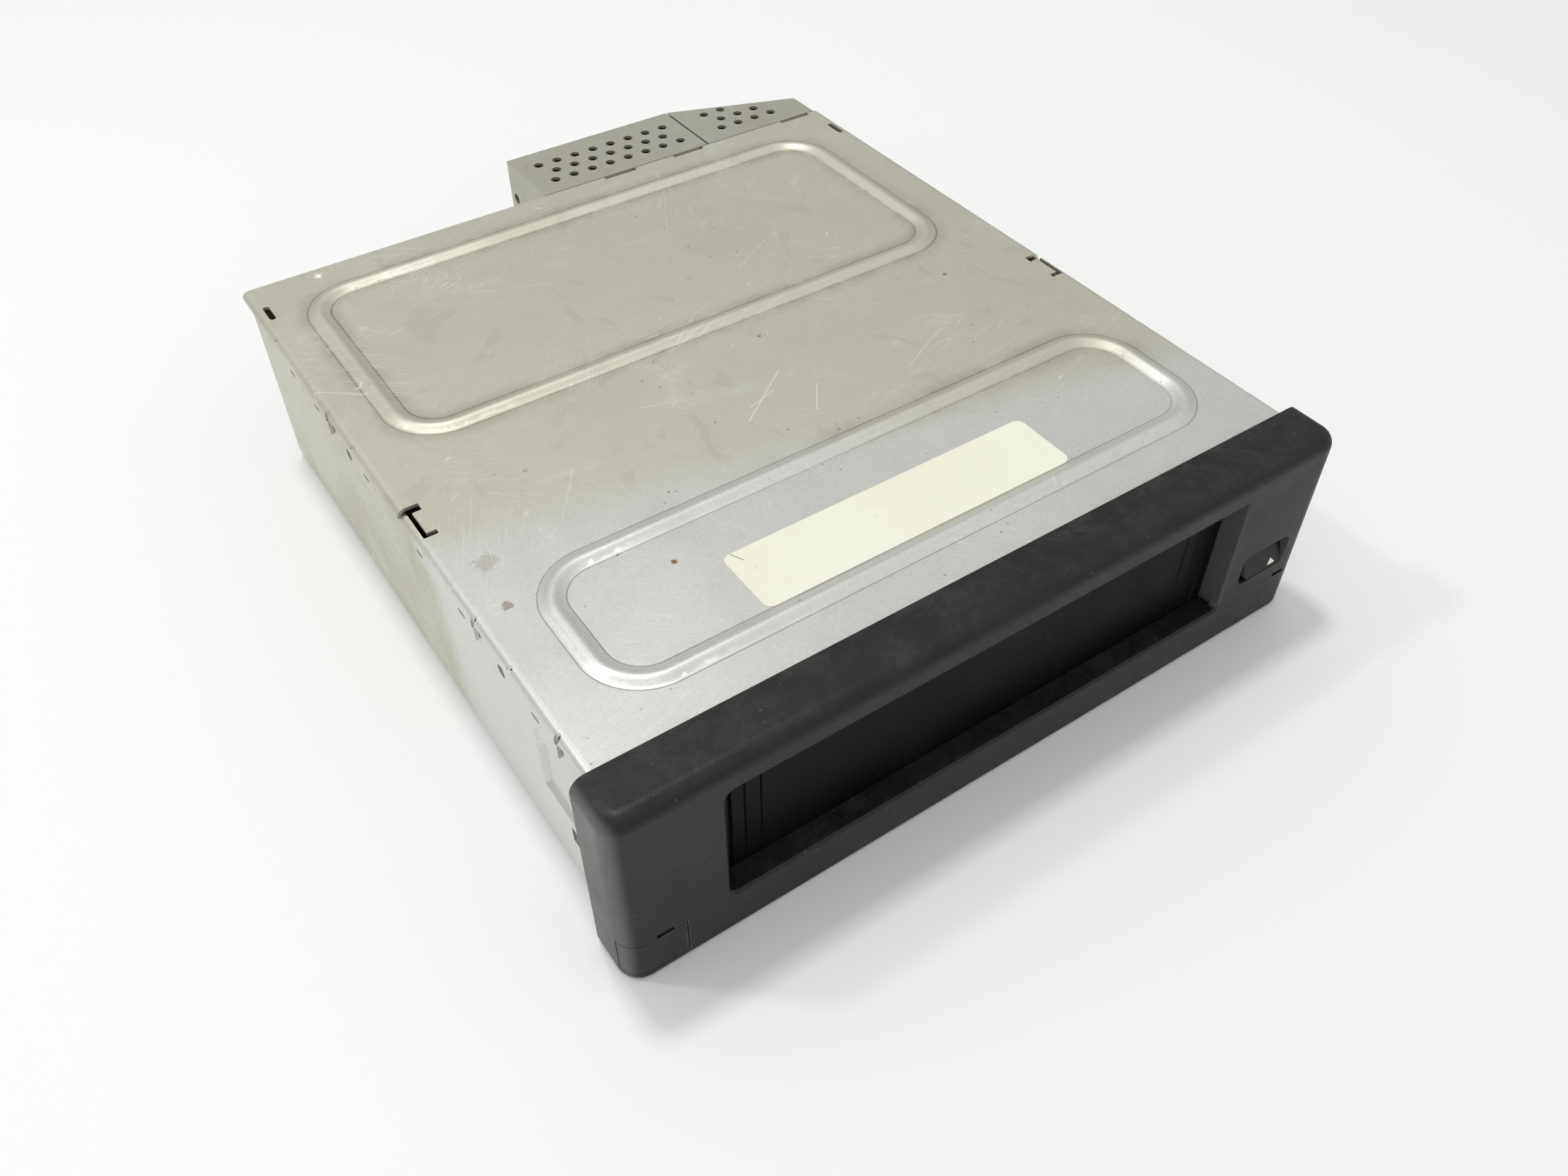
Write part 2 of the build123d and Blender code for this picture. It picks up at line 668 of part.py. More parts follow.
with BuildPart() as flap_spring:
    coil_start = window_left - recess_wall - 2 * spring_wire
    coil_pitch = 2 * spring_wire + spring_turn_gap
    with BuildLine():
        coil = Helix(pitch=coil_pitch, height=spring_turns * coil_pitch, radius=spring_coil_radius,
                     center=(coil_start, ahead(flap_axis_front), flap_axis_z), direction=(-1, 0, 0))
    with BuildSketch(Plane(origin=coil @ 0, z_dir=coil % 0)):
        RegularPolygon(spring_wire, 6)
    sweep(path=coil, is_frenet=True)
    # a straight leg from each end of the coil
    for end, direction in ((coil @ 0, 1), (coil @ 1, -1)):
        span("Y", spring_wire, end.Y, end.Y + direction * spring_leg, end.X, end.Z)
finish(flap_spring, "flap_spring")

# ------------------------------------------------------------------ eject button and its switch board
board_sheet = 1.2
switch_board_gap = 2.3      # to the side wall of the window's recess
switch_board_ear_gap = 0.6
switch_board_low = 10.0
switch_board_high = 32.0
switch_board_peg = 2.0      # between the board and the case's front wall
switch_peg_radius = 1.75
switch_peg_inset = 5.2
switch_body = 5.0
switch_body_height = 1.3
switch_plunger_radius = 1.0
switch_gap = 0.1

with BuildPart() as eject_button:
    flange_front = ahead(button_guide_end) + button_flange_gap
    button_low = button_recess_low + button_gap
    button_right = button_middle + button_recess_width / 2 - button_gap
    button_left = button_right - button_width
    # stem in its leaning side view, then its corners: the right ones follow the recess
    with BuildSketch(Plane.YZ.offset(button_left)):
        with BuildLine():
            Polyline((y_face, button_low), (flange_front + button_flange_sheet / 2, button_low),
                     (flange_front + button_flange_sheet / 2, button_low + button_height),
                     (y_face + button_slope, button_low + button_height), close=True)
        make_face()
    extrude(amount=button_width)
    stem_edges = eject_button.edges().filter_by(Axis.Y).group_by(Axis.X)
    fillet(stem_edges[-1], button_recess_corner - button_gap)
    fillet(stem_edges[0].sort_by(Axis.Z)[-1], button_corner)
    fillet(stem_edges[0].sort_by(Axis.Z)[0], button_edge)
    # flange that stops the button behind the recess
    with Locations((button_middle, flange_front + button_flange_sheet / 2, recess_middle_z)):
        Box(button_recess_width + 2 * button_flange, button_flange_sheet,
            button_recess_height + 2 * button_flange)
finish(eject_button, "eject_button")

with BuildPart() as switch_board:
    switch_board_left = window_right + recess_wall + switch_board_gap
    switch_board_right = ear_outer - ear_sheet - switch_board_ear_gap
    board_back = ahead(switch_board_peg)
    board_front = board_back - board_sheet
    block(switch_board_left, switch_board_right, board_front, board_back, switch_board_low,
          switch_board_high)
    with Locations((button_middle, board_front - switch_body_height / 2, recess_middle_z)):
        Box(switch_body, switch_body_height, switch_body)
    plunger_tip = flange_front + button_flange_sheet + button_travel + switch_gap
    span("Y", switch_plunger_radius, plunger_tip, board_front, button_middle, recess_middle_z)
    for height in (switch_board_low + 3.0, switch_board_high - 3.0):
        span("Y", switch_peg_radius, board_back, y_case, switch_board_right - switch_peg_inset, height)
finish(switch_board, "switch_board")

# ------------------------------------------------------------------ rear shields
shield_play = 0.3           # each side of the seam between the halves


def shield_outline(inset, front, height, start, end):
    """Part of the rear box outline between two X places."""
    with BuildSketch(Plane.XY.offset(height)) as half:
        add(tail_sketch(inset, front, 0))
        with Locations(((start + end) / 2, y_tail)):
            Rectangle(end - start, 4 * tail_depth, mode=Mode.INTERSECT)
    return half.sketch


halves = (
    ("left", tail_left, tail_seam - seam_gap / 2, left_vent_rows, tongue_places[:2]),
    ("right", tail_seam + seam_gap / 2, tail_right, right_vent_rows, tongue_places[2:]),
)
shield_front = y_cover_end + shield_play
vent_first = back(wall_run + vent_first_back)
for name, start, end, vent_rows, tongues in halves:
    vent_origin = tail_left if name == "left" else tail_seam
    with BuildPart() as shield:
        extrude(shield_outline(0, shield_front, shield_bottom, start, end),
                amount=case_height - shield_bottom)
        extrude(shield_outline(cover_sheet, shield_front - 1.0, shield_bottom - 1.0, start - 5.0, end + 5.0),
                amount=cover_under - shield_bottom + 1.0, mode=Mode.SUBTRACT)
        # tongues that slip under the rear edge of the cover
        for place in tongues:
            low_face = cover_under - cover_sheet - sheet_gap
            half_tongue = tongue_width / 2 - 0.4
            block(place - half_tongue, place + half_tongue, shield_front - tongue_reach,
                  shield_front + 1.6, low_face, low_face + cover_sheet)
            block(place - half_tongue, place + half_tongue, shield_front, shield_front + 1.6,
                  low_face, case_height)
        # vent holes in staggered rows
        for row, (first, count) in enumerate(vent_rows):
            for number in range(count):
                with Locations((vent_origin + first + number * vent_pitch,
                                vent_first - row * vent_row_pitch, cover_under - 1)):
                    Cylinder(vent_radius, 3 * cover_sheet + 2, mode=Mode.SUBTRACT)
        # screw hole in the side wall
        side = -1 if name == "left" else 1
        outer = tail_left if name == "left" else tail_right
        span("X", shield_screw_radius + side_screw_clearance, outer - 2.0, outer + 2.0,
             back(wall_run + shield_screw_back), shield_screw_height, Mode.SUBTRACT)
        if name == "left":
            span("X", shield_spot_radius, outer - 2.0, outer + 2.0,
                 back(wall_run + shield_spot_back), drop(shield_spot_drop), Mode.SUBTRACT)
    finish(shield, f"rear_shield_{name}")

# ------------------------------------------------------------------ screws on the case
with BuildPart() as side_screws:
    for side in (-1, 1):
        seat = side * (chassis_half - pad_depth)
        place = (back(side_screw_back), drop(side_screw_drop))
        span("X", side_screw_head_radius, seat, seat + side * side_screw_head, *place)
        span("X", side_screw_radius, seat, seat - side * side_screw_length, *place)
        for turn in (0, 90):
            with Locations(Location((seat + side * side_screw_head, *place), (turn, 0, 0))):
                Box(1.4, 0.6, 3.2, mode=Mode.SUBTRACT)
finish(side_screws, "side_screws")

with BuildPart() as shield_screws:
    for side, outer in ((-1, tail_left), (1, tail_right)):
        place = (back(wall_run + shield_screw_back), shield_screw_height)
        span("X", shield_screw_head_radius, outer, outer + side * shield_screw_head, *place)
        span("X", shield_screw_radius, outer, outer - side * shield_screw_length, *place)
        for turn in (0, 90):
            with Locations(Location((outer + side * shield_screw_head, *place), (turn, 0, 0))):
                Box(1.2, 0.5, 2.8, mode=Mode.SUBTRACT)
finish(shield_screws, "shield_screws")

# ------------------------------------------------------------------ rear cable socket
pin_reach = 7.0
pin_tail = 3.0
inner_rear = y_rear_wall - chassis_sheet

with BuildPart() as rear_socket:
    middle_z = socket_base + socket_height / 2
    with Locations((socket_middle, inner_rear - socket_depth / 2 + chassis_sheet, middle_z)):
        Box(socket_width, socket_depth, socket_height)
    with Locations((socket_middle, inner_rear - socket_wall / 2, middle_z)):
        Box(socket_width + 2 * socket_flange, socket_wall, socket_height + 2 * socket_flange)
    with Locations((socket_middle, inner_rear + chassis_sheet - (socket_depth - 2 * socket_wall) / 2, middle_z)):
        Box(socket_width - 2 * socket_wall, socket_depth - 2 * socket_wall, socket_height - 2 * socket_wall,
            mode=Mode.SUBTRACT)
    # keyway in the upper wall
    with Locations((socket_middle, inner_rear, socket_base + socket_height)):
        Box(6.0, 5.0, 2 * socket_wall + 0.2, mode=Mode.SUBTRACT)
    floor_front = inner_rear + chassis_sheet - socket_depth
    with BuildSketch(Plane.XZ.offset(-floor_front)):
        with Locations((socket_middle, middle_z)):
            with GridLocations(pin_pitch, pin_row_gap, pin_columns, 2):
                Rectangle(pin_size, pin_size)
    extrude(amount=-2 * socket_wall, mode=Mode.SUBTRACT)
finish(rear_socket, "rear_socket")

with BuildPart() as socket_pins:
    with BuildSketch(Plane.XZ.offset(-(floor_front - pin_tail))):
        with Locations((socket_middle, middle_z)):
            with GridLocations(pin_pitch, pin_row_gap, pin_columns, 2):
                Rectangle(pin_size, pin_size)
    extrude(amount=-(pin_tail + pin_reach))
finish(socket_pins, "socket_pins")

# ------------------------------------------------------------------ main circuit board
board_left_inset = 16.8     # from the left and right edges of the deck above it
board_right_inset = 17.2
board_front_back = 20.0     # front and rear edges, behind the front wall
board_rear_back = 100.0
board_low = 4.0
board_thickness = 1.6
standoff_radius = 3.0
board_screw_radius = 1.2
board_hole_inset = 4.0
board_hole_clearance = 0.2
board_chip_height = 1.6
capacitor_gap = 1.0         # to the deck above
connector_gap = 0.8
deck_sheet = 1.0
guide_side_gap = 0.9        # between the window's side and a guide's inner face
deck_margin = 2.1           # deck beyond the guides' inner faces
deck_sill_drop = 1.0        # upper level of the deck below the window's sill

guide_left = window_left - guide_side_gap       # inner faces of the magazine guides
guide_right = window_right + guide_side_gap
deck_top = window_sill - deck_sill_drop         # upper level, under the magazine
deck_left = guide_left - deck_margin
deck_right = guide_right + deck_margin
board_left = deck_left + board_left_inset
board_right = deck_right - board_right_inset

board_holes = [
    (x, y)
    for x in (board_left + board_hole_inset, board_right - board_hole_inset)
    for y in (back(board_front_back + board_hole_inset), back(board_rear_back - board_hole_inset))
]

with BuildPart() as main_board:
    block(board_left, board_right, back(board_front_back), back(board_rear_back), board_low,
          board_low + board_thickness)
    for x, y in board_holes:
        span("Z", board_screw_radius + board_hole_clearance, board_low - 1, board_low + board_thickness + 1, x, y, Mode.SUBTRACT)
finish(main_board, "main_board")

with BuildPart() as board_parts:
    top = board_low + board_thickness
    chips = ((-30.0, 45.0, 14.0, 14.0), (-5.0, 50.0, 18.0, 10.0), (22.0, 40.0, 10.0, 7.0), (5.0, 75.0, 12.0, 12.0))
    for x, y, width, length in chips:
        block(x - width / 2, x + width / 2, back(y) - length / 2, back(y) + length / 2, top,
              top + board_chip_height)
    deck_under = deck_top - deck_sheet
    for number in range(4):
        span("Z", 2.0, top, deck_under - capacitor_gap, -40.0 + number * 7.0, back(84.0))
    for x in (-20.0, 30.0):
        block(x - 9.0, x + 9.0, back(26.0), back(31.0), top, deck_under - connector_gap)
finish(board_parts, "board_parts")

with BuildPart() as board_screws:
    for x, y in board_holes:
        span("Z", 2.3, board_low + board_thickness, board_low + board_thickness + 1.5, x, y)
        span("Z", board_screw_radius, 1.5, board_low + board_thickness, x, y)
finish(board_screws, "board_screws")

with BuildPart() as board_standoffs:
    for x, y in board_holes:
        span("Z", standoff_radius, chassis_sheet, board_low, x, y)
        span("Z", board_screw_radius, 1.0, board_low + 1.0, x, y, Mode.SUBTRACT)
finish(board_standoffs, "board_standoffs")

# ------------------------------------------------------------------ floating deck on rubber dampers
deck_low = 2.8              # lower level, under the lift
wing_neck = 8.0             # front strip of the wing, which crosses the lane
deck_window = (-20.0, 15.0, 142.0, 168.0)
bearing_half = 5.0
bearing_drop = 4.0
bearing_inset = 1.0
deck_front_back = 6.0
deck_step_back = 133.0
deck_rear_back = 176.0
damper_radius = 5.0
damper_rim = 2.6            # height of the full-width rim at each end
damper_waist = 1.8          # how far the middle is drawn in
damper_insets = (8.8, 9.2)          # from the left and right edges of the deck
damper_backs = (11.0, 106.0)
wing_gap = 2.1                      # to the inside of the side wall
wing_start_back = 84.0
wing_end_back = 132.0
rack_lane = 4.2                     # free width beside the deck for the right cam plate

shaft_back = 122.0
shaft_height = 7.0
shaft_radius = 1.5
shaft_clearance = 0.08
bearing_sheet = 1.2
wheel_shift = 0.75                  # worm wheel to the left of the middle of the room for it
wheel_radius = 5.4
wheel_width = 4.0
wheel_room = 1.0

guide_sheet = 2.0
wing_right = inner_half - wing_gap
wheel_middle = (deck_right + rack_lane + inner_half) / 2 - wheel_shift
damper_places = [
    (x, y)
    for y in damper_backs
    for x in (deck_left + damper_insets[0], deck_right - damper_insets[1])
]

with BuildPart() as deck_base:
    with BuildSketch(Plane.YZ.offset(deck_left)):
        with BuildLine():
            FilletPolyline(
                (back(deck_front_back), deck_top - deck_sheet / 2),
                (back(deck_step_back), deck_top - deck_sheet / 2),
                (back(deck_step_back), deck_low - deck_sheet / 2),
                (back(deck_rear_back), deck_low - deck_sheet / 2),
                radius=deck_sheet,
            )
        trace(line_width=deck_sheet)
    extrude(amount=deck_right - deck_left)
    # wing that carries the lift motor, round the lane of the right cam plate
    block(deck_right - deck_sheet, wing_right, back(wing_start_back), back(wing_start_back + wing_neck),
          deck_top - deck_sheet, deck_top)
    block(deck_right + rack_lane, wing_right, back(wing_start_back), back(wing_end_back),
          deck_top - deck_sheet, deck_top)
    wheel_half = wheel_width / 2 + wheel_room
    wheel_reach = wheel_radius + wheel_room
    block(wheel_middle - wheel_half, wheel_middle + wheel_half, back(shaft_back) - wheel_reach,
          back(shaft_back) + wheel_reach, deck_top - 2 * deck_sheet, deck_top + deck_sheet, Mode.SUBTRACT)
    # bearing plates for the cross shaft
    for x in (deck_left + bearing_inset, deck_right - bearing_inset - bearing_sheet):
        block(x, x + bearing_sheet, back(shaft_back) - bearing_half, back(shaft_back) + bearing_half,
              shaft_height - bearing_drop, deck_top - deck_sheet / 2)
    span("X", shaft_radius + shaft_clearance, deck_left, deck_right, back(shaft_back), shaft_height,
         Mode.SUBTRACT)
    # weight-saving window in the lower level
    left, right, near, far = deck_window
    block(left, right, back(near), back(far), deck_low - 2 * deck_sheet, deck_low + deck_sheet, Mode.SUBTRACT)
finish(deck_base, "deck_base")

with BuildPart() as deck_dampers:
    damper_top = deck_top - deck_sheet
    for x, y in damper_places:
        with BuildSketch(Plane.XZ.offset(-back(y))):
            with BuildLine():
                Polyline((x, chassis_sheet), (x + damper_radius, chassis_sheet),
                         (x + damper_radius, chassis_sheet + damper_rim),
                         (x + damper_radius - damper_waist, (chassis_sheet + damper_top) / 2),
                         (x + damper_radius, damper_top - damper_rim),
                         (x + damper_radius, damper_top), (x, damper_top), close=True)
            make_face()
        revolve(axis=Axis((x, back(y), 0), (0, 0, 1)))
finish(deck_dampers, "deck_dampers")

# ------------------------------------------------------------------ magazine guides with the cams' studs
guide_front_back = 3.0
guide_rear_back = 131.0
guide_roof_gap = 2.7
ledge_width = 4.3
ledge_sill_drop = 0.2       # the magazine slides on the lower ledge, just below the sill
ledge_sheet = 1.3
ledge_drop = 1.8            # upper ledge below the top of the guide
guide_window_margin = 10.0
guide_window_width = 18.0
guide_window_backs = (30.0, 62.0, 100.0)
stop_sheet = 2.0
ledge_high_front = 33.0     # clear of the open flap
stud_radius = 1.5
stud_height = 20.0
stud_shoulder = 1.0
stud_play = 0.2             # between the stud's shoulder and the cam plate
stud_reach = 0.4            # beyond the cam plate
stud_places = (84.0, 118.0)
cam_sheet = 1.2
cam_gap = 1.9               # between a guide's outer face and its cam plate

cam_slot_radius = 1.7
lift_travel = 23.0
cam_pin_back = 150.0
cam_pin_height = 16.0
guide_top = cover_under - guide_roof_gap
ledge_low_top = window_sill - ledge_sill_drop
ledge_high_low = guide_top - ledge_drop

for name, side, face in (("left", -1, guide_left), ("right", 1, guide_right)):
    outer = face + side * guide_sheet
    with BuildPart() as guide:
        block(face, outer, back(guide_front_back), back(guide_rear_back), deck_top, guide_top)
        block(face, face - side * ledge_width, back(deck_front_back), back(guide_rear_back),
              deck_top, ledge_low_top)
        block(face, face - side * ledge_width, back(ledge_high_front), back(guide_rear_back),
              ledge_high_low, ledge_high_low + ledge_sheet)
        # back stop of the magazine
        block(face, face - side * ledge_width, back(guide_rear_back - stop_sheet), back(guide_rear_back),
              deck_top, ledge_high_low + ledge_sheet)
        # lightening windows in the web
        for middle in guide_window_backs:
            with Locations((face + side * guide_sheet / 2, back(middle), (deck_top + guide_top) / 2)):
                Box(2 * guide_sheet + 1, guide_window_width, guide_top - deck_top - 2 * guide_window_margin,
                    mode=Mode.SUBTRACT)
        for place in stud_places:
            shoulder = cam_gap - stud_play
            tip = cam_gap + cam_sheet + stud_reach
            span("X", stud_radius + stud_shoulder, outer, outer + side * shoulder, back(place), stud_height)
            span("X", stud_radius, outer, outer + side * tip, back(place), stud_height)
    finish(guide, f"magazine_guide_{name}")

# ------------------------------------------------------------------ ejector slide
ejector_inset = 6.1         # from the left guide's inner face
ejector_width = 5.1
ejector_bar = 3.0
ejector_finger = 4.0
ejector_finger_back = 6.0
ejector_finger_height = 11.8
ejector_rib = 1.4
ejector_rib_run = 8.0
ejector_rib_rise = 7.8
ejector_front_back = 70.0
ejector_length = 34.0
ejector_travel = 20.0
ejector_play = 0.2

with BuildPart() as ejector_slide:
    ejector_left = guide_left + ejector_inset
    ejector_low = deck_top + ejector_play
    bar_top = ejector_low + ejector_bar
    finger_front = ejector_front_back + ejector_finger_back
    finger_rear = finger_front + ejector_finger
    block(ejector_left, ejector_left + ejector_width, back(ejector_front_back),
          back(ejector_front_back + ejector_length), ejector_low, bar_top)
    block(ejector_left, ejector_left + ejector_width, back(finger_front), back(finger_rear), ejector_low,
          ejector_low + ejector_finger_height)
    # rib that stiffens the finger from behind
    with BuildSketch(Plane.YZ.offset(ejector_left)):
        with BuildLine():
            Polyline((back(finger_rear), bar_top), (back(finger_rear + ejector_rib_run), bar_top),
                     (back(finger_rear), bar_top + ejector_rib_rise), close=True)
        make_face()
    extrude(amount=ejector_rib)
finish(ejector_slide, "ejector_slide")

# ------------------------------------------------------------------ cam plates with their racks
tooth_module = 0.8
pinion_teeth = 12
pinion_radius = tooth_module * pinion_teeth / 2
tooth_pitch = pi * tooth_module
tooth_root_half = 0.62      # half widths of a tooth at its foot and its tip
tooth_tip_half = 0.26
tooth_top = 0.7             # above the pitch line
tooth_foot = 1.0            # below it
rack_lead = 10              # teeth in front of the shaft
rack_teeth = 13
rack_gap = 0.15             # between the pitch lines
rack_foot_height = shaft_height + pinion_radius + rack_gap + tooth_foot

cam_front_back = 56.0
cam_rear_back = 154.5
cam_root = 0.1              # overlap of the plate with the feet of its teeth
cam_low = rack_foot_height - cam_root
cam_drop = 2.0              # top of the cam plate below the top of the guide
cam_high = guide_top - cam_drop
cam_bar = 14.0              # height of the plate's long front part
cam_rear_height = 10.0
cam_rise_backs = (108.0, 121.0, 134.0)      # start of the slope, its end, start of the rear slope


def tooth_outline(middle, foot_line, direction):
    """One rack tooth standing on its foot line, in the plane of the sketch around it."""
    height = direction * (tooth_top + tooth_foot)
    Polyline((middle - tooth_root_half, foot_line), (middle - tooth_tip_half, foot_line + height),
             (middle + tooth_tip_half, foot_line + height), (middle + tooth_root_half, foot_line),
             close=True)


for name, side, face in (("left", -1, guide_left), ("right", 1, guide_right)):
    inner = face + side * (guide_sheet + cam_gap)
    start = min(inner, inner + side * cam_sheet)
    with BuildPart() as cam:
        with BuildSketch(Plane.YZ.offset(start)):
            with BuildLine():
                Polyline((back(cam_front_back), cam_low), (back(cam_rear_back), cam_low),
                         (back(cam_rear_back), cam_low + cam_rear_height), (back(cam_rise_backs[2]), cam_high),
                         (back(cam_rise_backs[1]), cam_high), (back(cam_rise_backs[0]), cam_low + cam_bar),
                         (back(cam_front_back), cam_low + cam_bar), close=True)
            make_face()
            for place in stud_places:
                with Locations((back(place) - lift_travel / 2, stud_height)):
                    SlotCenterToCenter(lift_travel, 2 * cam_slot_radius, mode=Mode.SUBTRACT)
            with Locations((back(cam_pin_back - lift_travel / 2), cam_pin_height + lift_travel / 2)):
                SlotCenterToCenter(lift_travel * 2 ** 0.5, 2 * cam_slot_radius, rotation=-45,
                                   mode=Mode.SUBTRACT)
        extrude(amount=cam_sheet)
        with BuildSketch(Plane.YZ.offset(start)):
            for number in range(rack_teeth):
                with BuildLine():
                    tooth_outline(back(shaft_back) + (number - rack_lead + 0.5) * tooth_pitch,
                                  rack_foot_height, -1)
                make_face()
        extrude(amount=cam_sheet)
    finish(cam, f"cam_plate_{name}")

# ------------------------------------------------------------------ cross shaft, pinions, worm drive
pinion_width = 3.0


def gear_face(plane, teeth, radius, bore):
    """Spur gear outline on a plane: a root circle with tapered teeth and a bore."""
    root = radius - tooth_foot
    with BuildSketch(plane) as gear:
        Circle(root)
        with PolarLocations(0, teeth):
            with Locations((root + (tooth_foot + tooth_top) / 2, 0)):
                Trapezoid(2 * tooth_root_half, tooth_foot + tooth_top, tooth_slope, rotation=-90)
        with PolarLocations(root, teeth):
            Rectangle(1.0, 2 * tooth_root_half)
        Circle(bore, mode=Mode.SUBTRACT)
    return gear.sketch


tooth_slope = degrees(atan2(tooth_foot + tooth_top, tooth_root_half - tooth_tip_half))
cam_middle = guide_sheet + cam_gap + cam_sheet / 2      # beyond a guide's inner face
pinion_places = (guide_left - cam_middle, guide_right + cam_middle)
shaft_left = pinion_places[0] - pinion_width / 2 - 1.5
shaft_right = wheel_middle + wheel_width / 2 + 1.5

with BuildPart() as cross_shaft:
    span("X", shaft_radius, shaft_left, shaft_right, back(shaft_back), shaft_height)
    chamfer(cross_shaft.edges().filter_by(GeomType.CIRCLE), 0.3)
finish(cross_shaft, "cross_shaft")

with BuildPart() as shaft_pinions:
    for place in pinion_places:
        gear_plane = Plane(origin=(place - pinion_width / 2, back(shaft_back), shaft_height),
                           x_dir=(0, 1, 0), z_dir=(1, 0, 0))
        extrude(gear_face(gear_plane, pinion_teeth, pinion_radius, shaft_radius), amount=pinion_width)
finish(shaft_pinions, "shaft_pinions")

with BuildPart() as worm_wheel:
    gear_plane = Plane(origin=(wheel_middle - wheel_width / 2, back(shaft_back), shaft_height),
                       x_dir=(0, 1, 0), z_dir=(1, 0, 0))
    extrude(gear_face(gear_plane, pinion_teeth, pinion_radius, shaft_radius), amount=wheel_width)
finish(worm_wheel, "worm_wheel")

# ------------------------------------------------------------------ lift motor with its worm
worm_gap = 0.25
worm_radius = 2.8
worm_core_radius = 1.9
worm_height = shaft_height + pinion_radius + tooth_top + worm_gap + worm_radius
motor_shaft_radius = 0.75
motor_front_back = 90.0
motor_length = 22.0
motor_radius = 6.0
worm_start_back = 115.0
worm_end_back = 129.0
worm_plate_sheet = 1.0
worm_plate_half = 5.0
worm_plate_rise = 4.0       # above the worm's axis
worm_plate_backs = (motor_front_back + motor_length, worm_end_back + 1.2)

with BuildPart() as worm_bracket:
    for place in worm_plate_backs:
        block(wheel_middle - worm_plate_half, wheel_middle + worm_plate_half, back(place),
              back(place + worm_plate_sheet), deck_top, worm_height + worm_plate_rise)
        span("Y", motor_shaft_radius + shaft_clearance, back(place) - 1, back(place) + 3, wheel_middle,
             worm_height, Mode.SUBTRACT)
finish(worm_bracket, "worm_bracket")

with BuildPart() as lift_motor:
    span("Y", motor_radius, back(motor_front_back), back(motor_front_back + motor_length), wheel_middle,
         worm_height)
    flat = worm_height - deck_top
    for sign in (-1, 1):
        with Locations((wheel_middle, back(motor_front_back + motor_length / 2),
                        worm_height + sign * (flat + motor_radius))):
            Box(4 * motor_radius, 2 * motor_length, 2 * motor_radius, mode=Mode.SUBTRACT)
    span("Y", motor_shaft_radius + shaft_clearance, back(motor_front_back + motor_length - 4.0),
         back(motor_front_back + motor_length + 1.0), wheel_middle, worm_height, Mode.SUBTRACT)
finish(lift_motor, "lift_motor")

with BuildPart() as lift_worm:
    span("Y", worm_core_radius, back(worm_start_back), back(worm_end_back), wheel_middle, worm_height)
    span("Y", motor_shaft_radius, back(motor_front_back + motor_length - 3.5),
         back(worm_plate_backs[1] + worm_plate_sheet + 0.6), wheel_middle, worm_height)
    turns = int((worm_end_back - worm_start_back) / tooth_pitch)
    for number in range(turns):
        with Locations(Location((wheel_middle, back(worm_start_back) + (number + 0.7) * tooth_pitch,
                                 worm_height), (-90, 0, 0))):
            Cone(worm_radius, worm_core_radius, 0.7, align=(Align.CENTER, Align.CENTER, Align.MIN))
finish(lift_worm, "lift_worm")

# ------------------------------------------------------------------ lift: posts and carriage
post_radius = 2.0
post_clearance = 0.08
post_roof_gap = 1.7
post_collar = 1.4
post_collar_rise = 3.0
post_insets = (7.7, 4.6)    # from the left and right edges of the carriage
post_backs = (158.0, 169.0)
carriage_low = 8.0
carriage_sheet = 1.2
carriage_top = carriage_low + carriage_sheet
carriage_front_back = 136.0
carriage_rear_back = 176.0
carriage_left_rear_back = 165.0
carriage_step_offset = 66.0 # its deeper part starts this far left of the spindle
carriage_side_gap = 0.8     # between the deck's edge and the side flanges
flange_height = 22.0
cam_pin_radius = 1.5

spindle_inset = 25.1        # from the right guide's inner face
spindle_back = 146.0
spindle_motor_radius = 11.0
spindle_motor_low = 3.4
spindle_radius = 1.0
platform_radius = 12.0
platform_low = 11.7
platform_top = 13.0
hub_radius = 7.3
hub_top = 15.2

rod_backs = (137.0, 156.5)
rod_height = 5.5
rod_radius = 1.25
rod_left_offset = 83.0      # ends of the rods, to the left of the spindle
rod_right_offset = 9.5
rod_lug = 2.2
rod_lug_half = 1.4
rod_lug_drop = 1.9
sled_left_offset = 38.0     # ends of the sled at rest, to the left of the spindle
sled_right_offset = 13.0
sled_low = 3.6
sled_top = 7.4
sled_travel = 32.0
lens_offset = 25.0
lens_radius = 2.2
sled_window_offsets = (76.0, 11.0)
sled_window_backs = (139.5, 154.5)

clamp_pin_back = 173.0
clamp_pin_height = 18.5
clamp_lug_offsets = (12.0, 10.0)    # left and right of the spindle
clamp_lug = 2.0
clamp_lug_half = 3.0
clamp_lug_rise = 2.5

hook_offset = 15.0          # to the right of the spindle
hook_width = 4.8
hook_front_back = 137.0
hook_length = 6.0
hook_travel = 28.0
hook_key_width = 1.6
hook_play = 0.2
cam_pin_plate_half = 9.0
cam_pin_plate_sheet = 1.0

post_top = cover_under - post_roof_gap
plate_left = guide_left - guide_sheet / 2
plate_right = guide_right + guide_sheet / 2
post_places = ((plate_left + post_insets[0], post_backs[0]), (plate_right - post_insets[1], post_backs[1]))
spindle_x = guide_right - spindle_inset
carriage_step_x = spindle_x - carriage_step_offset
rod_left = spindle_x - rod_left_offset
rod_right = spindle_x - rod_right_offset
sled_left = spindle_x - sled_left_offset
sled_right = spindle_x - sled_right_offset
lens_x = spindle_x - lens_offset
clamp_lug_left = spindle_x - clamp_lug_offsets[0]
clamp_lug_right = spindle_x + clamp_lug_offsets[1]
hook_x = spindle_x + hook_offset

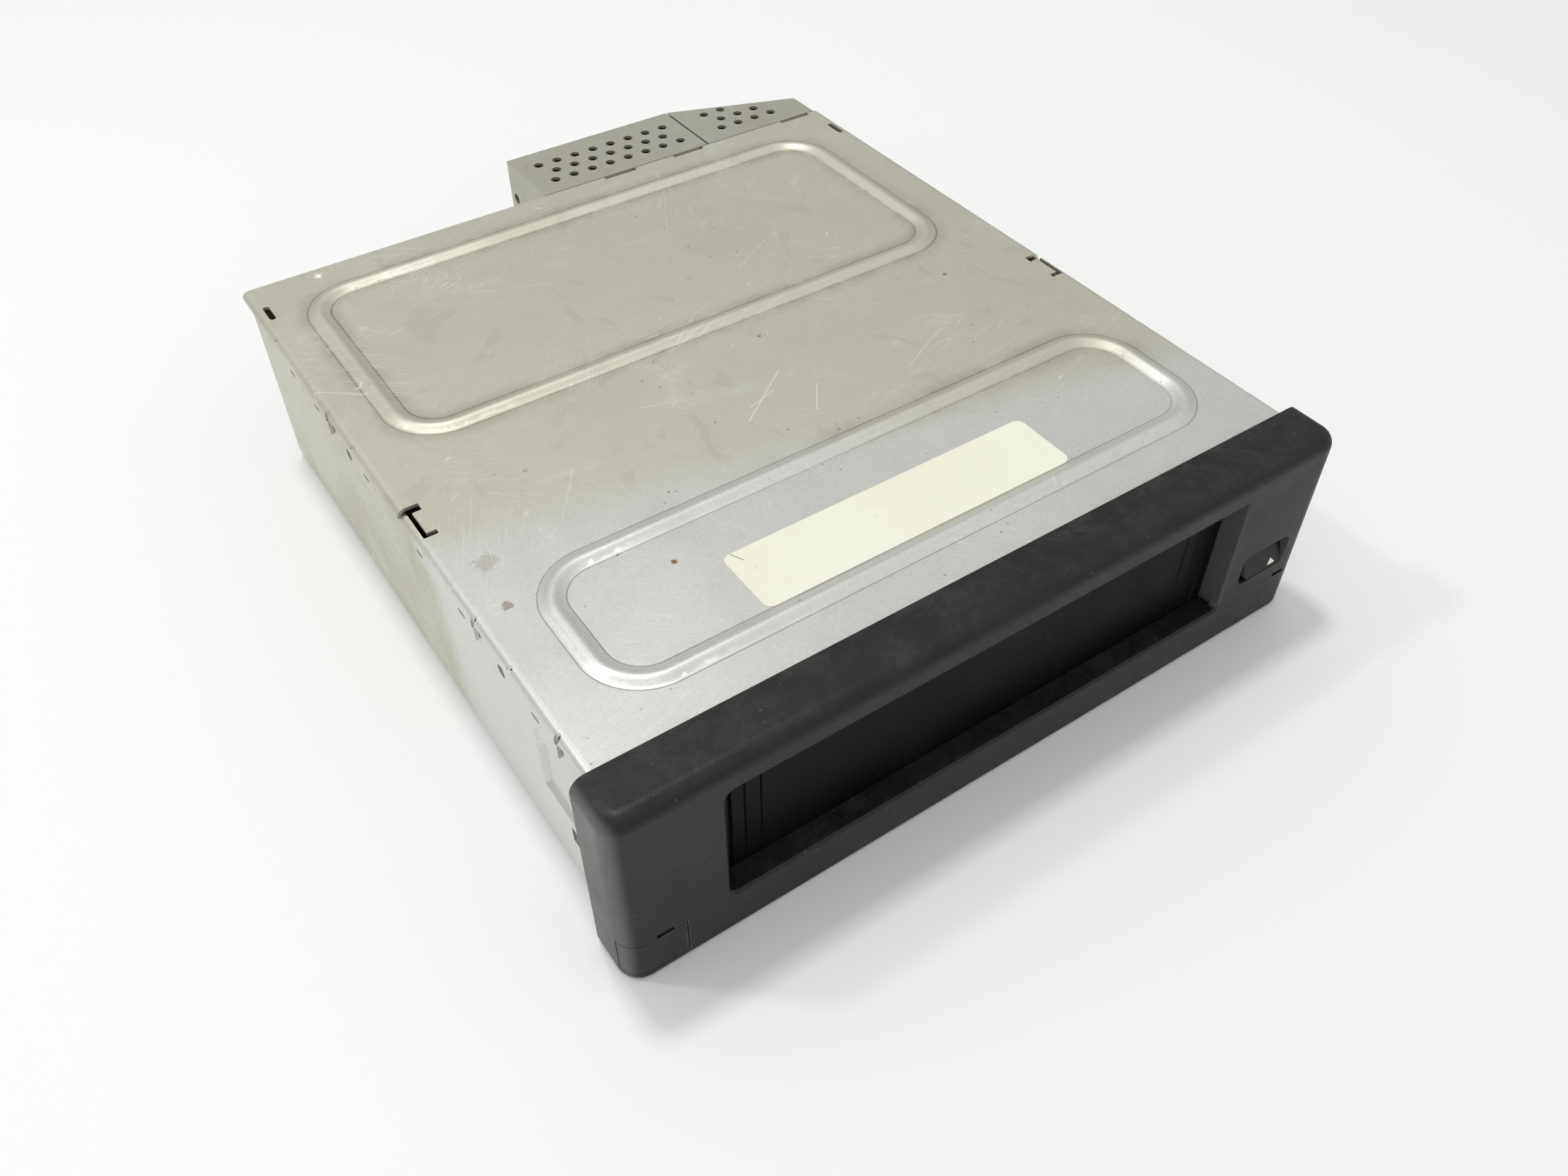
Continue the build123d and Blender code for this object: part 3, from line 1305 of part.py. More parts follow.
with BuildPart() as guide_posts:
    for x, place in post_places:
        span("Z", post_radius, deck_low, post_top, x, back(place))
    chamfer(guide_posts.faces().group_by(Axis.Z)[-1].edges(), 0.5)
finish(guide_posts, "guide_posts")

with BuildPart() as lift_carriage:
    block(plate_left, plate_right, back(carriage_front_back), back(carriage_left_rear_back),
          carriage_low, carriage_top)
    block(carriage_step_x, plate_right, back(carriage_left_rear_back), back(carriage_rear_back),
          carriage_low, carriage_top)
    for side, edge in ((-1, plate_left), (1, plate_right)):
        block(edge, edge - side * cam_pin_plate_sheet, back(cam_pin_back - cam_pin_plate_half),
              back(cam_pin_back + cam_pin_plate_half), carriage_low, flange_height)
        span("X", cam_pin_radius, edge - side * cam_pin_plate_sheet / 2, edge + side * (cam_middle - guide_sheet / 2 + cam_sheet),
             back(cam_pin_back), cam_pin_height)
    for x, place in post_places:
        span("Z", post_radius + post_collar, carriage_low, carriage_top + post_collar_rise, x, back(place))
        span("Z", post_radius + post_clearance, carriage_low - 1, carriage_top + post_collar_rise + 1, x,
             back(place), Mode.SUBTRACT)
    for place in rod_backs:
        for x in (rod_left, rod_right - rod_lug):
            block(x, x + rod_lug, back(place) - rod_lug_half, back(place) + rod_lug_half,
                  rod_height - rod_lug_drop, carriage_low + 0.1)
        span("X", rod_radius, rod_left - 1, rod_right + 1, back(place), rod_height, Mode.SUBTRACT)
    for x in (clamp_lug_left, clamp_lug_right):
        block(x, x + clamp_lug, back(clamp_pin_back) - clamp_lug_half, back(clamp_pin_back) + clamp_lug_half,
              carriage_low, clamp_pin_height + clamp_lug_rise)
    span("X", spindle_radius + shaft_clearance, clamp_lug_left - 1, clamp_lug_right + clamp_lug + 1,
         back(clamp_pin_back), clamp_pin_height, Mode.SUBTRACT)
    block(spindle_x - sled_window_offsets[0], spindle_x - sled_window_offsets[1], back(sled_window_backs[0]),
          back(sled_window_backs[1]), carriage_low - 1, carriage_top + 1, Mode.SUBTRACT)
    span("Z", spindle_radius + 1.5, carriage_low - 1, carriage_top + 1, spindle_x, back(spindle_back),
         Mode.SUBTRACT)
    # slot for the key of the tray hook
    block(hook_x - hook_key_width / 2 - hook_play, hook_x + hook_key_width / 2 + hook_play,
          back(hook_front_back) - 0.1, back(hook_front_back + hook_length + hook_travel) + 0.6,
          carriage_low - 1, carriage_top + 0.1, Mode.SUBTRACT)
    # hole for the sled motor's shaft
    sled_gear_back = rod_backs[1] + 3.7 + tooth_foot + rack_gap + pinion_radius
    sled_gear_x = sled_left - 6.0
    span("Z", spindle_radius + 1.0, carriage_low - 1, carriage_top + 1, sled_gear_x, back(sled_gear_back),
         Mode.SUBTRACT)
finish(lift_carriage, "lift_carriage")

with BuildPart() as spindle_motor:
    span("Z", spindle_motor_radius, spindle_motor_low, carriage_low, spindle_x, back(spindle_back))
    fillet(spindle_motor.edges().sort_by(Axis.Z)[0], 0.8)
    span("Z", spindle_radius + shaft_clearance, spindle_motor_low + 0.6, carriage_low + 1, spindle_x,
         back(spindle_back), Mode.SUBTRACT)
finish(spindle_motor, "spindle_motor")

with BuildPart() as turntable:
    with BuildSketch(Plane(origin=(spindle_x, back(spindle_back), 0), x_dir=(1, 0, 0), z_dir=(0, -1, 0))):
        with BuildLine():
            Polyline((0, spindle_motor_low + 1.0), (spindle_radius, spindle_motor_low + 1.0),
                     (spindle_radius, platform_low), (platform_radius, platform_low),
                     (platform_radius, platform_top), (hub_radius, platform_top),
                     (hub_radius, platform_top + 1.2), (hub_radius - 1.6, hub_top), (0, hub_top), close=True)
        make_face()
    revolve(axis=Axis((spindle_x, back(spindle_back), 0), (0, 0, 1)))
finish(turntable, "turntable")

# ------------------------------------------------------------------ disc clamp
puck_radius = 10.0
puck_sheet = 1.0
puck_gap = 0.4              # above the hub
arm_low = 17.4
arm_sheet = 1.0
arm_half = 6.0
arm_front_back = 138.5
puck_stem_radius = 1.9
puck_stem_clearance = 0.5

with BuildPart() as clamp_arm:
    block(spindle_x - arm_half, spindle_x + arm_half, back(arm_front_back), back(clamp_pin_back), arm_low,
          arm_low + arm_sheet)
    fillet(clamp_arm.edges().filter_by(Axis.Z).group_by(Axis.Y)[0], 4.0)
    for x in (spindle_x - arm_half, spindle_x + arm_half - arm_sheet):
        block(x, x + arm_sheet, back(arm_front_back + 20.0), back(clamp_pin_back), arm_low, arm_low + 3.0)
    span("X", 2.2, clamp_lug_left + clamp_lug + 0.3, clamp_lug_right - 0.3, back(clamp_pin_back),
         clamp_pin_height)
    span("X", spindle_radius, clamp_lug_left - 0.4, clamp_lug_right + clamp_lug + 0.4,
         back(clamp_pin_back), clamp_pin_height)
    span("Z", puck_stem_radius + puck_stem_clearance, arm_low - 1, arm_low + 5, spindle_x,
         back(spindle_back), Mode.SUBTRACT)
finish(clamp_arm, "clamp_arm")

with BuildPart() as clamp_puck:
    puck_low = hub_top + puck_gap
    puck_top = arm_low + arm_sheet + 0.3
    span("Z", puck_radius, puck_low, puck_low + puck_sheet, spindle_x, back(spindle_back))
    span("Z", puck_stem_radius, puck_low, puck_top + 0.8, spindle_x, back(spindle_back))
    span("Z", puck_stem_radius + 1.4, puck_top, puck_top + 0.8, spindle_x, back(spindle_back))
finish(clamp_puck, "clamp_puck")

# ------------------------------------------------------------------ optical pickup
rack_bar = 2.2

with BuildPart() as pickup_sled:
    block(sled_left, sled_right, back(rod_backs[0]) - 1.9, back(rod_backs[1]) + 1.5, sled_low, sled_top)
    block(lens_x - 7.0, lens_x + 7.0, back(spindle_back) - 6.0, back(spindle_back) + 6.0, sled_top,
          platform_low - 1.1)
    for place in rod_backs:
        span("X", rod_radius + shaft_clearance, sled_left - 1, sled_right + 1, back(place), rod_height,
             Mode.SUBTRACT)
    # rack along the rear edge
    rack_face = back(rod_backs[1] + 3.7)
    block(sled_gear_x - 5.0, sled_right + 3.0, rack_face - rack_bar, rack_face, sled_low + 0.6, sled_low + 2.6)
    with BuildSketch(Plane.XY.offset(sled_low + 0.6)):
        for number in range(-2, 13):
            with BuildLine():
                tooth_outline(sled_gear_x + (number + 0.5) * tooth_pitch, rack_face - 0.05, 1)
            make_face()
    extrude(amount=2.0)
finish(pickup_sled, "pickup_sled")

with BuildPart() as pickup_lens:
    span("Z", lens_radius, platform_low - 1.1, platform_low - 0.7, lens_x, back(spindle_back))
    chamfer(pickup_lens.faces().sort_by(Axis.Z)[-1].edges(), 0.3)
finish(pickup_lens, "pickup_lens")

with BuildPart() as sled_rods:
    for place in rod_backs:
        span("X", rod_radius, rod_left, rod_right, back(place), rod_height)
finish(sled_rods, "sled_rods")

with BuildPart() as sled_gear:
    gear_plane = Plane(origin=(sled_gear_x, back(sled_gear_back), sled_low + 0.6))
    extrude(gear_face(gear_plane, pinion_teeth, pinion_radius, spindle_radius / 2), amount=2.0)
    span("Z", spindle_radius, sled_low + 0.6, carriage_top + 4.0, sled_gear_x, back(sled_gear_back))
finish(sled_gear, "sled_gear")

sled_motor_radius = 5.5
sled_motor_height = 10.0

with BuildPart() as sled_motor:
    span("Z", sled_motor_radius, carriage_top, carriage_top + sled_motor_height, sled_gear_x,
         back(sled_gear_back))
    span("Z", spindle_radius + shaft_clearance, carriage_top - 1, carriage_top + 4.5, sled_gear_x,
         back(sled_gear_back), Mode.SUBTRACT)
finish(sled_motor, "sled_motor")

# ------------------------------------------------------------------ tray hook
hook_low = deck_top + 0.4
hook_finger = 1.0
hook_reach = 5.0
hook_tip = 0.4

with BuildPart() as tray_hook:
    block(hook_x - hook_width / 2, hook_x + hook_width / 2, back(hook_front_back),
          back(hook_front_back + hook_length), carriage_top + hook_play, hook_low + hook_finger)
    block(hook_x - hook_key_width / 2, hook_x + hook_key_width / 2, back(hook_front_back) + 0.5,
          back(hook_front_back + hook_length), carriage_low + hook_play, carriage_top + hook_play)
    block(hook_x - hook_finger, hook_x + hook_finger, back(hook_front_back) - hook_reach,
          back(hook_front_back), hook_low, hook_low + hook_finger)
    tip = back(hook_front_back) - hook_reach - hook_tip
    block(hook_x - hook_finger, hook_x + hook_width / 2, tip, tip + hook_finger, hook_low,
          hook_low + hook_finger)
finish(tray_hook, "tray_hook")
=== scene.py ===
"""Looks of the car CD changer: materials, fine pieces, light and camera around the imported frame.

Everything is in metres, in the frame's own axes: X to the right along the bezel, Y from the
bezel to the back, Z up.
"""
import json
import math

import bmesh
import bpy
from mathutils import Matrix, Vector


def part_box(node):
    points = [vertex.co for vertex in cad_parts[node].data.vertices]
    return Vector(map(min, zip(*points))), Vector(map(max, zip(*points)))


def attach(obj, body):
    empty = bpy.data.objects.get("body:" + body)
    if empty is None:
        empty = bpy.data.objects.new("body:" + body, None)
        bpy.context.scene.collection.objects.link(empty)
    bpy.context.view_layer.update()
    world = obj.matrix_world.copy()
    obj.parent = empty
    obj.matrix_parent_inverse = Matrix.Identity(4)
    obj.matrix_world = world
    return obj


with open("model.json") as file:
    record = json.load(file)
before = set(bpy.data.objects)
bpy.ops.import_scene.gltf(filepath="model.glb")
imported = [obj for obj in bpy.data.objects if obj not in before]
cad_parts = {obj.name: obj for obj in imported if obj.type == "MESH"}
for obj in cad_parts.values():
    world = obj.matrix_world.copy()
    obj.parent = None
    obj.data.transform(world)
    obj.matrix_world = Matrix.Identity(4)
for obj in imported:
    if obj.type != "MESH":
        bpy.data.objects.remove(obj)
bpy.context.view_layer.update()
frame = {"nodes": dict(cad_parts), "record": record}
nodes = frame["nodes"]
MM = 0.001

# ---------------------------------------------------------------- places taken from the frame
cover_low = Vector(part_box("top_cover")[0])
label_low, label_high = (Vector(corner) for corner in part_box("blank_label"))
bezel_low, bezel_high = (Vector(corner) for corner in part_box("front_bezel"))
button_low, button_high = (Vector(corner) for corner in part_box("eject_button"))

cover_setback = 0.3 * MM                        # cover's front edge behind the case's front wall
cover_front = cover_low.y - cover_setback       # front wall of the case
sheet_top = label_low.z                         # flat top of the cover
bezel_face = bezel_low.y
bezel_corner = 5.0 * MM                         # radius of the bezel's upright corners

# ---------------------------------------------------------------- the eject button's leaning face
button_lean = 3.0 * MM                          # top of the face behind its foot
button_stem_height = 7.9 * MM
button_stem_drop = 4.05 * MM                    # foot of the face below the button's middle
button_stem_low = (button_low.z + button_high.z) / 2 - button_stem_drop

# ---------------------------------------------------------------- sizes of the pressed beads
bead_width = 5.6 * MM
bead_rise = 1.1 * MM
bead_corner = 11.0 * MM
bead_frames = (
    # centre X, width, front and rear outer edges behind the front wall
    (0.6 * MM, 156.4 * MM, 9.7 * MM, 50.8 * MM),
    (-1.5 * MM, 155.5 * MM, 99.9 * MM, 171.7 * MM),
)


# ---------------------------------------------------------------- age and single marks of the cover
clean_from = 42 * MM        # old grime starts here behind the front wall
grimy_from = 58 * MM        # and is full from here
grime_slant = 0.22          # the start moves forward towards the right


def on_cover(x, y):
    """A place on the cover's flat top, from millimetres right of the middle and behind its front."""
    return Vector((x * MM, cover_front + y * MM, sheet_top))


rust_brown = (0.20, 0.09, 0.035)
grime_and_dimple_shade = (0.30, 0.26, 0.19)
dimple_highlight = (0.85, 0.85, 0.83)
cover_scratches = (
    # start, end, half width, strength
    (on_cover(-12.0, 66.0), on_cover(4.0, 78.0), 0.16 * MM, 0.9),
    (on_cover(-9.0, 70.0), on_cover(-1.0, 72.5), 0.13 * MM, 0.8),
    (on_cover(3.0, 61.0), on_cover(8.5, 69.0), 0.14 * MM, 0.8),
    (on_cover(-30.0, 84.0), on_cover(-18.0, 80.0), 0.12 * MM, 0.6),
    (on_cover(30.0, 62.0), on_cover(46.0, 70.0), 0.12 * MM, 0.6),
    (on_cover(-62.0, 60.0), on_cover(-52.0, 74.0), 0.12 * MM, 0.5),
    (on_cover(20.0, 120.0), on_cover(34.0, 128.0), 0.12 * MM, 0.5),
    (on_cover(-40.0, 148.0), on_cover(-22.0, 141.0), 0.12 * MM, 0.45),
)
cover_spots = (
    # centre, radius, colour, strength
    (on_cover(-49.0, 37.0), 0.7 * MM, rust_brown, 0.9),
    # painted shade of a small dimple in the sheet
    (on_cover(-81.7, 44.8), 1.2 * MM, grime_and_dimple_shade, 0.75),
    # painted highlight of a small dimple in the sheet
    (on_cover(-69.8, 178.1), 1.4 * MM, dimple_highlight, 0.9),
    (on_cover(-80.0, 58.0), 2.6 * MM, grime_and_dimple_shade, 0.35),
    (on_cover(62.0, 88.0), 0.6 * MM, rust_brown, 0.7),
    (on_cover(8.0, 92.0), 0.5 * MM, rust_brown, 0.6),
)


# ---------------------------------------------------------------- material helpers
class Shader:
    """A node-based material and short calls that add nodes to it."""

    def __init__(self, name):
        self.material = bpy.data.materials.new(name)
        self.material.use_nodes = True
        self.tree = self.material.node_tree
        self.bsdf = self.tree.nodes["Principled BSDF"]
        self.place = self.node("ShaderNodeTexCoord").outputs["Object"]

    def node(self, kind, **settings):
        made = self.tree.nodes.new(kind)
        for key, value in settings.items():
            setattr(made, key, value)
        return made

    def link(self, source, target):
        self.tree.links.new(source, target)

    def put(self, socket, value):
        """Feed a socket from another socket, or set it to a number or colour."""
        if isinstance(value, bpy.types.NodeSocket):
            self.link(value, socket)
        else:
            socket.default_value = value

    def scaled(self, factors, source=None):
        """Object coordinates multiplied by one factor for each axis."""
        made = self.node("ShaderNodeVectorMath", operation="MULTIPLY")
        self.link(source or self.place, made.inputs[0])
        made.inputs[1].default_value = factors
        return made.outputs[0]

    def noise(self, scale, detail=4.0, roughness=0.55, distortion=0.0, where=None):
        made = self.node("ShaderNodeTexNoise")
        self.link(where or self.place, made.inputs["Vector"])
        made.inputs["Scale"].default_value = scale
        made.inputs["Detail"].default_value = detail
        made.inputs["Roughness"].default_value = roughness
        made.inputs["Distortion"].default_value = distortion
        return made.outputs["Fac"]

    def cells(self, scale, where=None, feature="F1"):
        made = self.node("ShaderNodeTexVoronoi", feature=feature)
        self.link(where or self.place, made.inputs["Vector"])
        made.inputs["Scale"].default_value = scale
        return made.outputs["Distance"]

    def remap(self, value, low, high, to_low=0.0, to_high=1.0, smooth=True):
        made = self.node("ShaderNodeMapRange", interpolation_type="SMOOTHSTEP" if smooth else "LINEAR")
        self.put(made.inputs["Value"], value)
        made.inputs["From Min"].default_value = low
        made.inputs["From Max"].default_value = high
        made.inputs["To Min"].default_value = to_low
        made.inputs["To Max"].default_value = to_high
        return made.outputs["Result"]

    def math(self, operation, first, second=0.0):
        made = self.node("ShaderNodeMath", operation=operation)
        self.put(made.inputs[0], first)
        self.put(made.inputs[1], second)
        return made.outputs[0]

    def mix(self, factor, first, second, blend="MIX"):
        made = self.node("ShaderNodeMix", data_type="RGBA", blend_type=blend)
        self.put(made.inputs["Factor"], factor)
        self.put(made.inputs["A"], first if not isinstance(first, tuple) else (*first, 1.0))
        self.put(made.inputs["B"], second if not isinstance(second, tuple) else (*second, 1.0))
        return made.outputs["Result"]

    def from_point(self, centre):
        """Distance of each place from a point."""
        made = self.node("ShaderNodeVectorMath", operation="DISTANCE")
        self.link(self.place, made.inputs[0])
        made.inputs[1].default_value = centre
        return made.outputs["Value"]

    def from_stroke(self, start, end):
        """Distance of each place from a straight line between two points."""
        start, end = Vector(start), Vector(end)
        run = end - start
        moved = self.node("ShaderNodeVectorMath", operation="SUBTRACT")
        self.link(self.place, moved.inputs[0])
        moved.inputs[1].default_value = start
        along = self.node("ShaderNodeVectorMath", operation="DOT_PRODUCT")
        self.link(moved.outputs[0], along.inputs[0])
        along.inputs[1].default_value = run / run.length_squared
        share = self.math("MINIMUM", self.math("MAXIMUM", along.outputs["Value"], 0.0), 1.0)
        nearest = self.node("ShaderNodeVectorMath", operation="SCALE")
        nearest.inputs[0].default_value = run
        self.link(share, nearest.inputs["Scale"])
        apart = self.node("ShaderNodeVectorMath", operation="DISTANCE")
        self.link(moved.outputs[0], apart.inputs[0])
        self.link(nearest.outputs[0], apart.inputs[1])
        return apart.outputs["Value"]

    def axes(self):
        made = self.node("ShaderNodeSeparateXYZ")
        self.link(self.place, made.inputs[0])
        return made.outputs

    def bump(self, height, strength, distance, onto=None):
        made = self.node("ShaderNodeBump")
        self.put(made.inputs["Height"], height)
        made.inputs["Strength"].default_value = strength
        made.inputs["Distance"].default_value = distance
        if onto is not None:
            self.link(onto, made.inputs["Normal"])
        return made.outputs["Normal"]

    def finish(self, colour=None, roughness=None, metallic=None, normal=None):
        for name, value in (("Base Color", colour), ("Roughness", roughness), ("Metallic", metallic),
                            ("Normal", normal)):
            if value is not None:
                self.put(self.bsdf.inputs[name], value if not isinstance(value, tuple) else (*value, 1.0))
        return self.material


def rounded_frame_distance(shader, centre_x, width, front, rear):
    """Distance of a place from the middle line of a bead, negative inside it."""
    middle = (centre_x, cover_front + (front + rear) / 2, 0.0)
    half = ((width - bead_width) / 2 - bead_corner, (rear - front - bead_width) / 2 - bead_corner, 1.0)
    moved = shader.node("ShaderNodeVectorMath", operation="SUBTRACT")
    shader.link(shader.place, moved.inputs[0])
    moved.inputs[1].default_value = middle
    folded = shader.node("ShaderNodeVectorMath", operation="ABSOLUTE")
    shader.link(moved.outputs[0], folded.inputs[0])
    beyond = shader.node("ShaderNodeVectorMath", operation="SUBTRACT")
    shader.link(folded.outputs[0], beyond.inputs[0])
    beyond.inputs[1].default_value = half
    parts = shader.node("ShaderNodeSeparateXYZ")
    shader.link(beyond.outputs[0], parts.inputs[0])
    outside = shader.node("ShaderNodeVectorMath", operation="MAXIMUM")
    shader.link(beyond.outputs[0], outside.inputs[0])
    outside.inputs[1].default_value = (0, 0, 0)
    length = shader.node("ShaderNodeVectorMath", operation="LENGTH")
    shader.link(outside.outputs[0], length.inputs[0])
    inner = shader.math("MINIMUM", shader.math("MAXIMUM", parts.outputs[0], parts.outputs[1]), 0.0)
    total = shader.math("ADD", length.outputs["Value"], inner)
    return shader.math("SUBTRACT", total, bead_corner)


def galvanised(name, tone=1.0, dirt_and_shade=1.0, marks=False):
    """Dull zinc-coated sheet with smudges, haze, specks, scratches, grime beside the beads and a painted
    shade line at their feet.
    """
    shader = Shader(name)
    x, y, z = shader.axes()

    def shade(red, green, blue):
        return (red * tone, green * tone, blue * tone)

    # cleaner and cooler from the front bead forward, most of all on the left
    along = shader.math("ADD", y, shader.math("MULTIPLY", x, grime_slant))
    aged = shader.remap(along, cover_front + clean_from, cover_front + grimy_from, 0.10, 1.0)
    colour = shader.mix(aged, shade(0.71, 0.715, 0.685), shade(0.61, 0.60, 0.50))
    # broad cloudy stains and pale haze
    cloud = shader.noise(24.0, 6.0, 0.66, 0.5)
    stain = shader.math("MULTIPLY", shader.remap(cloud, 0.40, 0.66, 0.0, 0.50 * dirt_and_shade), aged)
    colour = shader.mix(stain, colour, shade(0.48, 0.465, 0.37))
    haze = shader.noise(38.0, 7.0, 0.72, 0.9, shader.scaled((1.0, 1.6, 1.0)))
    colour = shader.mix(shader.remap(haze, 0.54, 0.74, 0.0, 0.42), colour, shade(0.78, 0.785, 0.755))
    # blotches of old fluid, with a soft edge
    blotch = shader.noise(75.0, 3.0, 0.6, 1.2, shader.scaled((1.3, 0.8, 1.0)))
    blotch = shader.math("MULTIPLY", shader.remap(blotch, 0.60, 0.66, 0.0, 0.30 * dirt_and_shade), aged)
    colour = shader.mix(blotch, colour, shade(0.46, 0.445, 0.36))
    # fine grain of the zinc
    grain = shader.noise(1500.0, 3.0, 0.75)
    colour = shader.mix(shader.remap(grain, 0.3, 0.7, 0.0, 0.20), colour, shade(0.36, 0.355, 0.32))
    # grime along both sides of the beads
    flat = shader.remap(z, sheet_top - 0.4 * MM, sheet_top - 0.1 * MM)
    for bead in bead_frames:
        distance = shader.math("ABSOLUTE", rounded_frame_distance(shader, *bead))
        beside = shader.remap(distance, 2.0 * MM, 2.8 * MM)
        fading = shader.remap(distance, 2.8 * MM, 7.0 * MM, 1.0, 0.0)
        patch = shader.remap(shader.noise(60.0, 6.0, 0.75), 0.35, 0.60, 0.1, 1.0)
        amount = shader.math("MULTIPLY", shader.math("MULTIPLY", beside, fading), patch)
        amount = shader.math("MULTIPLY", shader.math("MULTIPLY", amount, flat), aged)
        colour = shader.mix(shader.math("MULTIPLY", amount, 0.6 * dirt_and_shade), colour, shade(0.38, 0.36, 0.275))
        # thin dark line at the foot of the bead: painted shade of the bead's edge
        foot = shader.math("ABSOLUTE", shader.math("SUBTRACT", distance, bead_width / 2))
        line = shader.math("MULTIPLY", shader.remap(foot, 0.15 * MM, 0.60 * MM, 0.36 * dirt_and_shade, 0.0), patch)
        line = shader.math("MULTIPLY", line, shader.math("ADD", aged, 0.25))
        colour = shader.mix(shader.math("MULTIPLY", line, flat), colour, shade(0.36, 0.35, 0.29))
    # dark specks, then sparse rust points
    specks = shader.remap(shader.cells(260.0), 0.05, 0.10, 0.8, 0.0)
    sparse = shader.remap(shader.noise(34.0, 3.0), 0.50, 0.60)
    colour = shader.mix(shader.math("MULTIPLY", specks, sparse), colour, shade(0.24, 0.21, 0.16))
    rust = shader.remap(shader.cells(48.0), 0.018, 0.036, 0.8, 0.0)
    colour = shader.mix(shader.math("MULTIPLY", rust, sparse), colour, shade(0.27, 0.14, 0.06))
    # long thin scratches in three directions
    for turn, stretch, offset in ((0.5, 14.0, 0.0), (-0.9, 9.0, 3.7), (1.25, 11.0, 8.3)):
        rotated = shader.node("ShaderNodeMapping")
        shader.link(shader.place, rotated.inputs["Vector"])
        rotated.inputs["Rotation"].default_value = (0, 0, turn)
        rotated.inputs["Location"].default_value = (offset, offset, 0)
        long_place = shader.scaled((stretch * 60.0, 60.0 / 2.2, 40.0), rotated.outputs[0])
        line = shader.remap(shader.cells(1.0, long_place, "DISTANCE_TO_EDGE"), 0.0, 0.016, 1.0, 0.0)
        some = shader.remap(shader.noise(26.0, 2.0, 0.5, 0.0, rotated.outputs[0]), 0.56, 0.66)
        amount = shader.math("MULTIPLY", shader.math("MULTIPLY", line, some), 0.6)
        colour = shader.mix(amount, colour, shade(0.84, 0.84, 0.82))
    if marks:
        colour = cover_marks(shader, colour)
    cloudy_rough = shader.remap(cloud, 0.3, 0.7, 0.30, 0.42)
    rough = shader.math("ADD", cloudy_rough, shader.math("MULTIPLY", aged, 0.10))
    ripple = shader.bump(shader.noise(45.0, 2.0), 0.35, 0.14 * MM)
    normal = shader.bump(grain, 0.3, 0.02 * MM, ripple)
    return shader.finish(colour, rough, 0.65, normal)


def cover_marks(shader, colour):
    """Single marks seen on the cover: deep scratches, rust, dirt, and the painted shade and painted
    highlight of two small dimples.
    """
    for start, end, width, strength in cover_scratches:
        edge = shader.remap(shader.from_stroke(start, end), 0.4 * width, width, strength, 0.0)
        colour = shader.mix(edge, colour, (0.86, 0.86, 0.84))
    for centre, radius, tint, strength in cover_spots:
        wobble = shader.remap(shader.noise(900.0, 2.0), 0.3, 0.7, -0.3 * radius, 0.3 * radius)
        distance = shader.math("ADD", shader.from_point(centre), wobble)
        amount = shader.remap(distance, 0.6 * radius, 1.2 * radius, strength, 0.0)
        colour = shader.mix(amount, colour, tint)
    return colour


def black_plastic(name, base=0.0065, rough=0.44, grain_scale=1700.0, dust_and_sheen=1.0, gloss=0.33,
                  seams=False):
    """Moulded black plastic with a fine grain, scuffs, dust where it settles, and a painted sheen on faces
    turned to the left.
    """
    shader = Shader(name)
    x, y, z = shader.axes()
    cloud = shader.noise(40.0, 6.0, 0.7)
    worn = (base * 2.4, base * 2.4, base * 2.3)
    colour = shader.mix(shader.remap(cloud, 0.42, 0.72, 0.0, 0.6), (base, base, base * 1.05), worn)
    # pale specks and lint
    specks = shader.remap(shader.cells(520.0), 0.06, 0.12, 0.9, 0.0)
    some = shader.remap(shader.noise(55.0, 3.0), 0.50, 0.66)
    amount = shader.math("MULTIPLY", shader.math("MULTIPLY", specks, some), 0.5 * dust_and_sheen)
    colour = shader.mix(amount, colour, (0.24, 0.24, 0.22))
    # dust film on what faces up, thicker towards the case
    facing = shader.node("ShaderNodeNewGeometry").outputs["Normal"]
    parts = shader.node("ShaderNodeSeparateXYZ")
    shader.link(facing, parts.inputs[0])
    upward = shader.remap(parts.outputs[2], 0.5, 0.95)
    near_case = shader.remap(y, bezel_face + 5 * MM, bezel_high.y, 0.25, 1.0)
    film = shader.remap(shader.noise(110.0, 7.0, 0.8, 0.6), 0.42, 0.70, 0.0, 1.0)
    amount = shader.math("MULTIPLY", shader.math("MULTIPLY", upward, near_case), film)
    colour = shader.mix(shader.math("MULTIPLY", amount, 0.30 * dust_and_sheen), colour, (0.20, 0.20, 0.18))
    # lighter grey on faces turned to the left: painted sheen of the light from that side
    leftward = shader.remap(parts.outputs[0], -0.9, -0.4, 0.55 * dust_and_sheen, 0.0)
    colour = shader.mix(leftward, colour, (0.17, 0.17, 0.165))
    if seams:
        colour = cap_seams(shader, colour)
    # rubbed marks
    for turn, offset in ((0.35, 1.9), (-0.6, 6.1)):
        rotated = shader.node("ShaderNodeMapping")
        shader.link(shader.place, rotated.inputs["Vector"])
        rotated.inputs["Rotation"].default_value = (turn, turn, turn)
        rotated.inputs["Location"].default_value = (offset, offset, 0)
        streak = shader.noise(1.0, 4.0, 0.7, 0.0, shader.scaled((40.0, 900.0, 900.0), rotated.outputs[0]))
        place = shader.remap(shader.noise(30.0, 3.0, 0.6, 0.0, rotated.outputs[0]), 0.56, 0.68)
        amount = shader.math("MULTIPLY", shader.remap(streak, 0.62, 0.72), place)
        colour = shader.mix(shader.math("MULTIPLY", amount, 0.35 * dust_and_sheen), colour, (0.13, 0.13, 0.125))
    grain = shader.noise(grain_scale, 2.0, 0.6)
    roughness = shader.remap(cloud, 0.3, 0.7, rough - 0.06, rough + 0.10)
    normal = shader.bump(grain, 0.5, 0.05 * MM)
    shader.bsdf.inputs["Specular IOR Level"].default_value = gloss
    return shader.finish(colour, roughness, 0.0, normal)


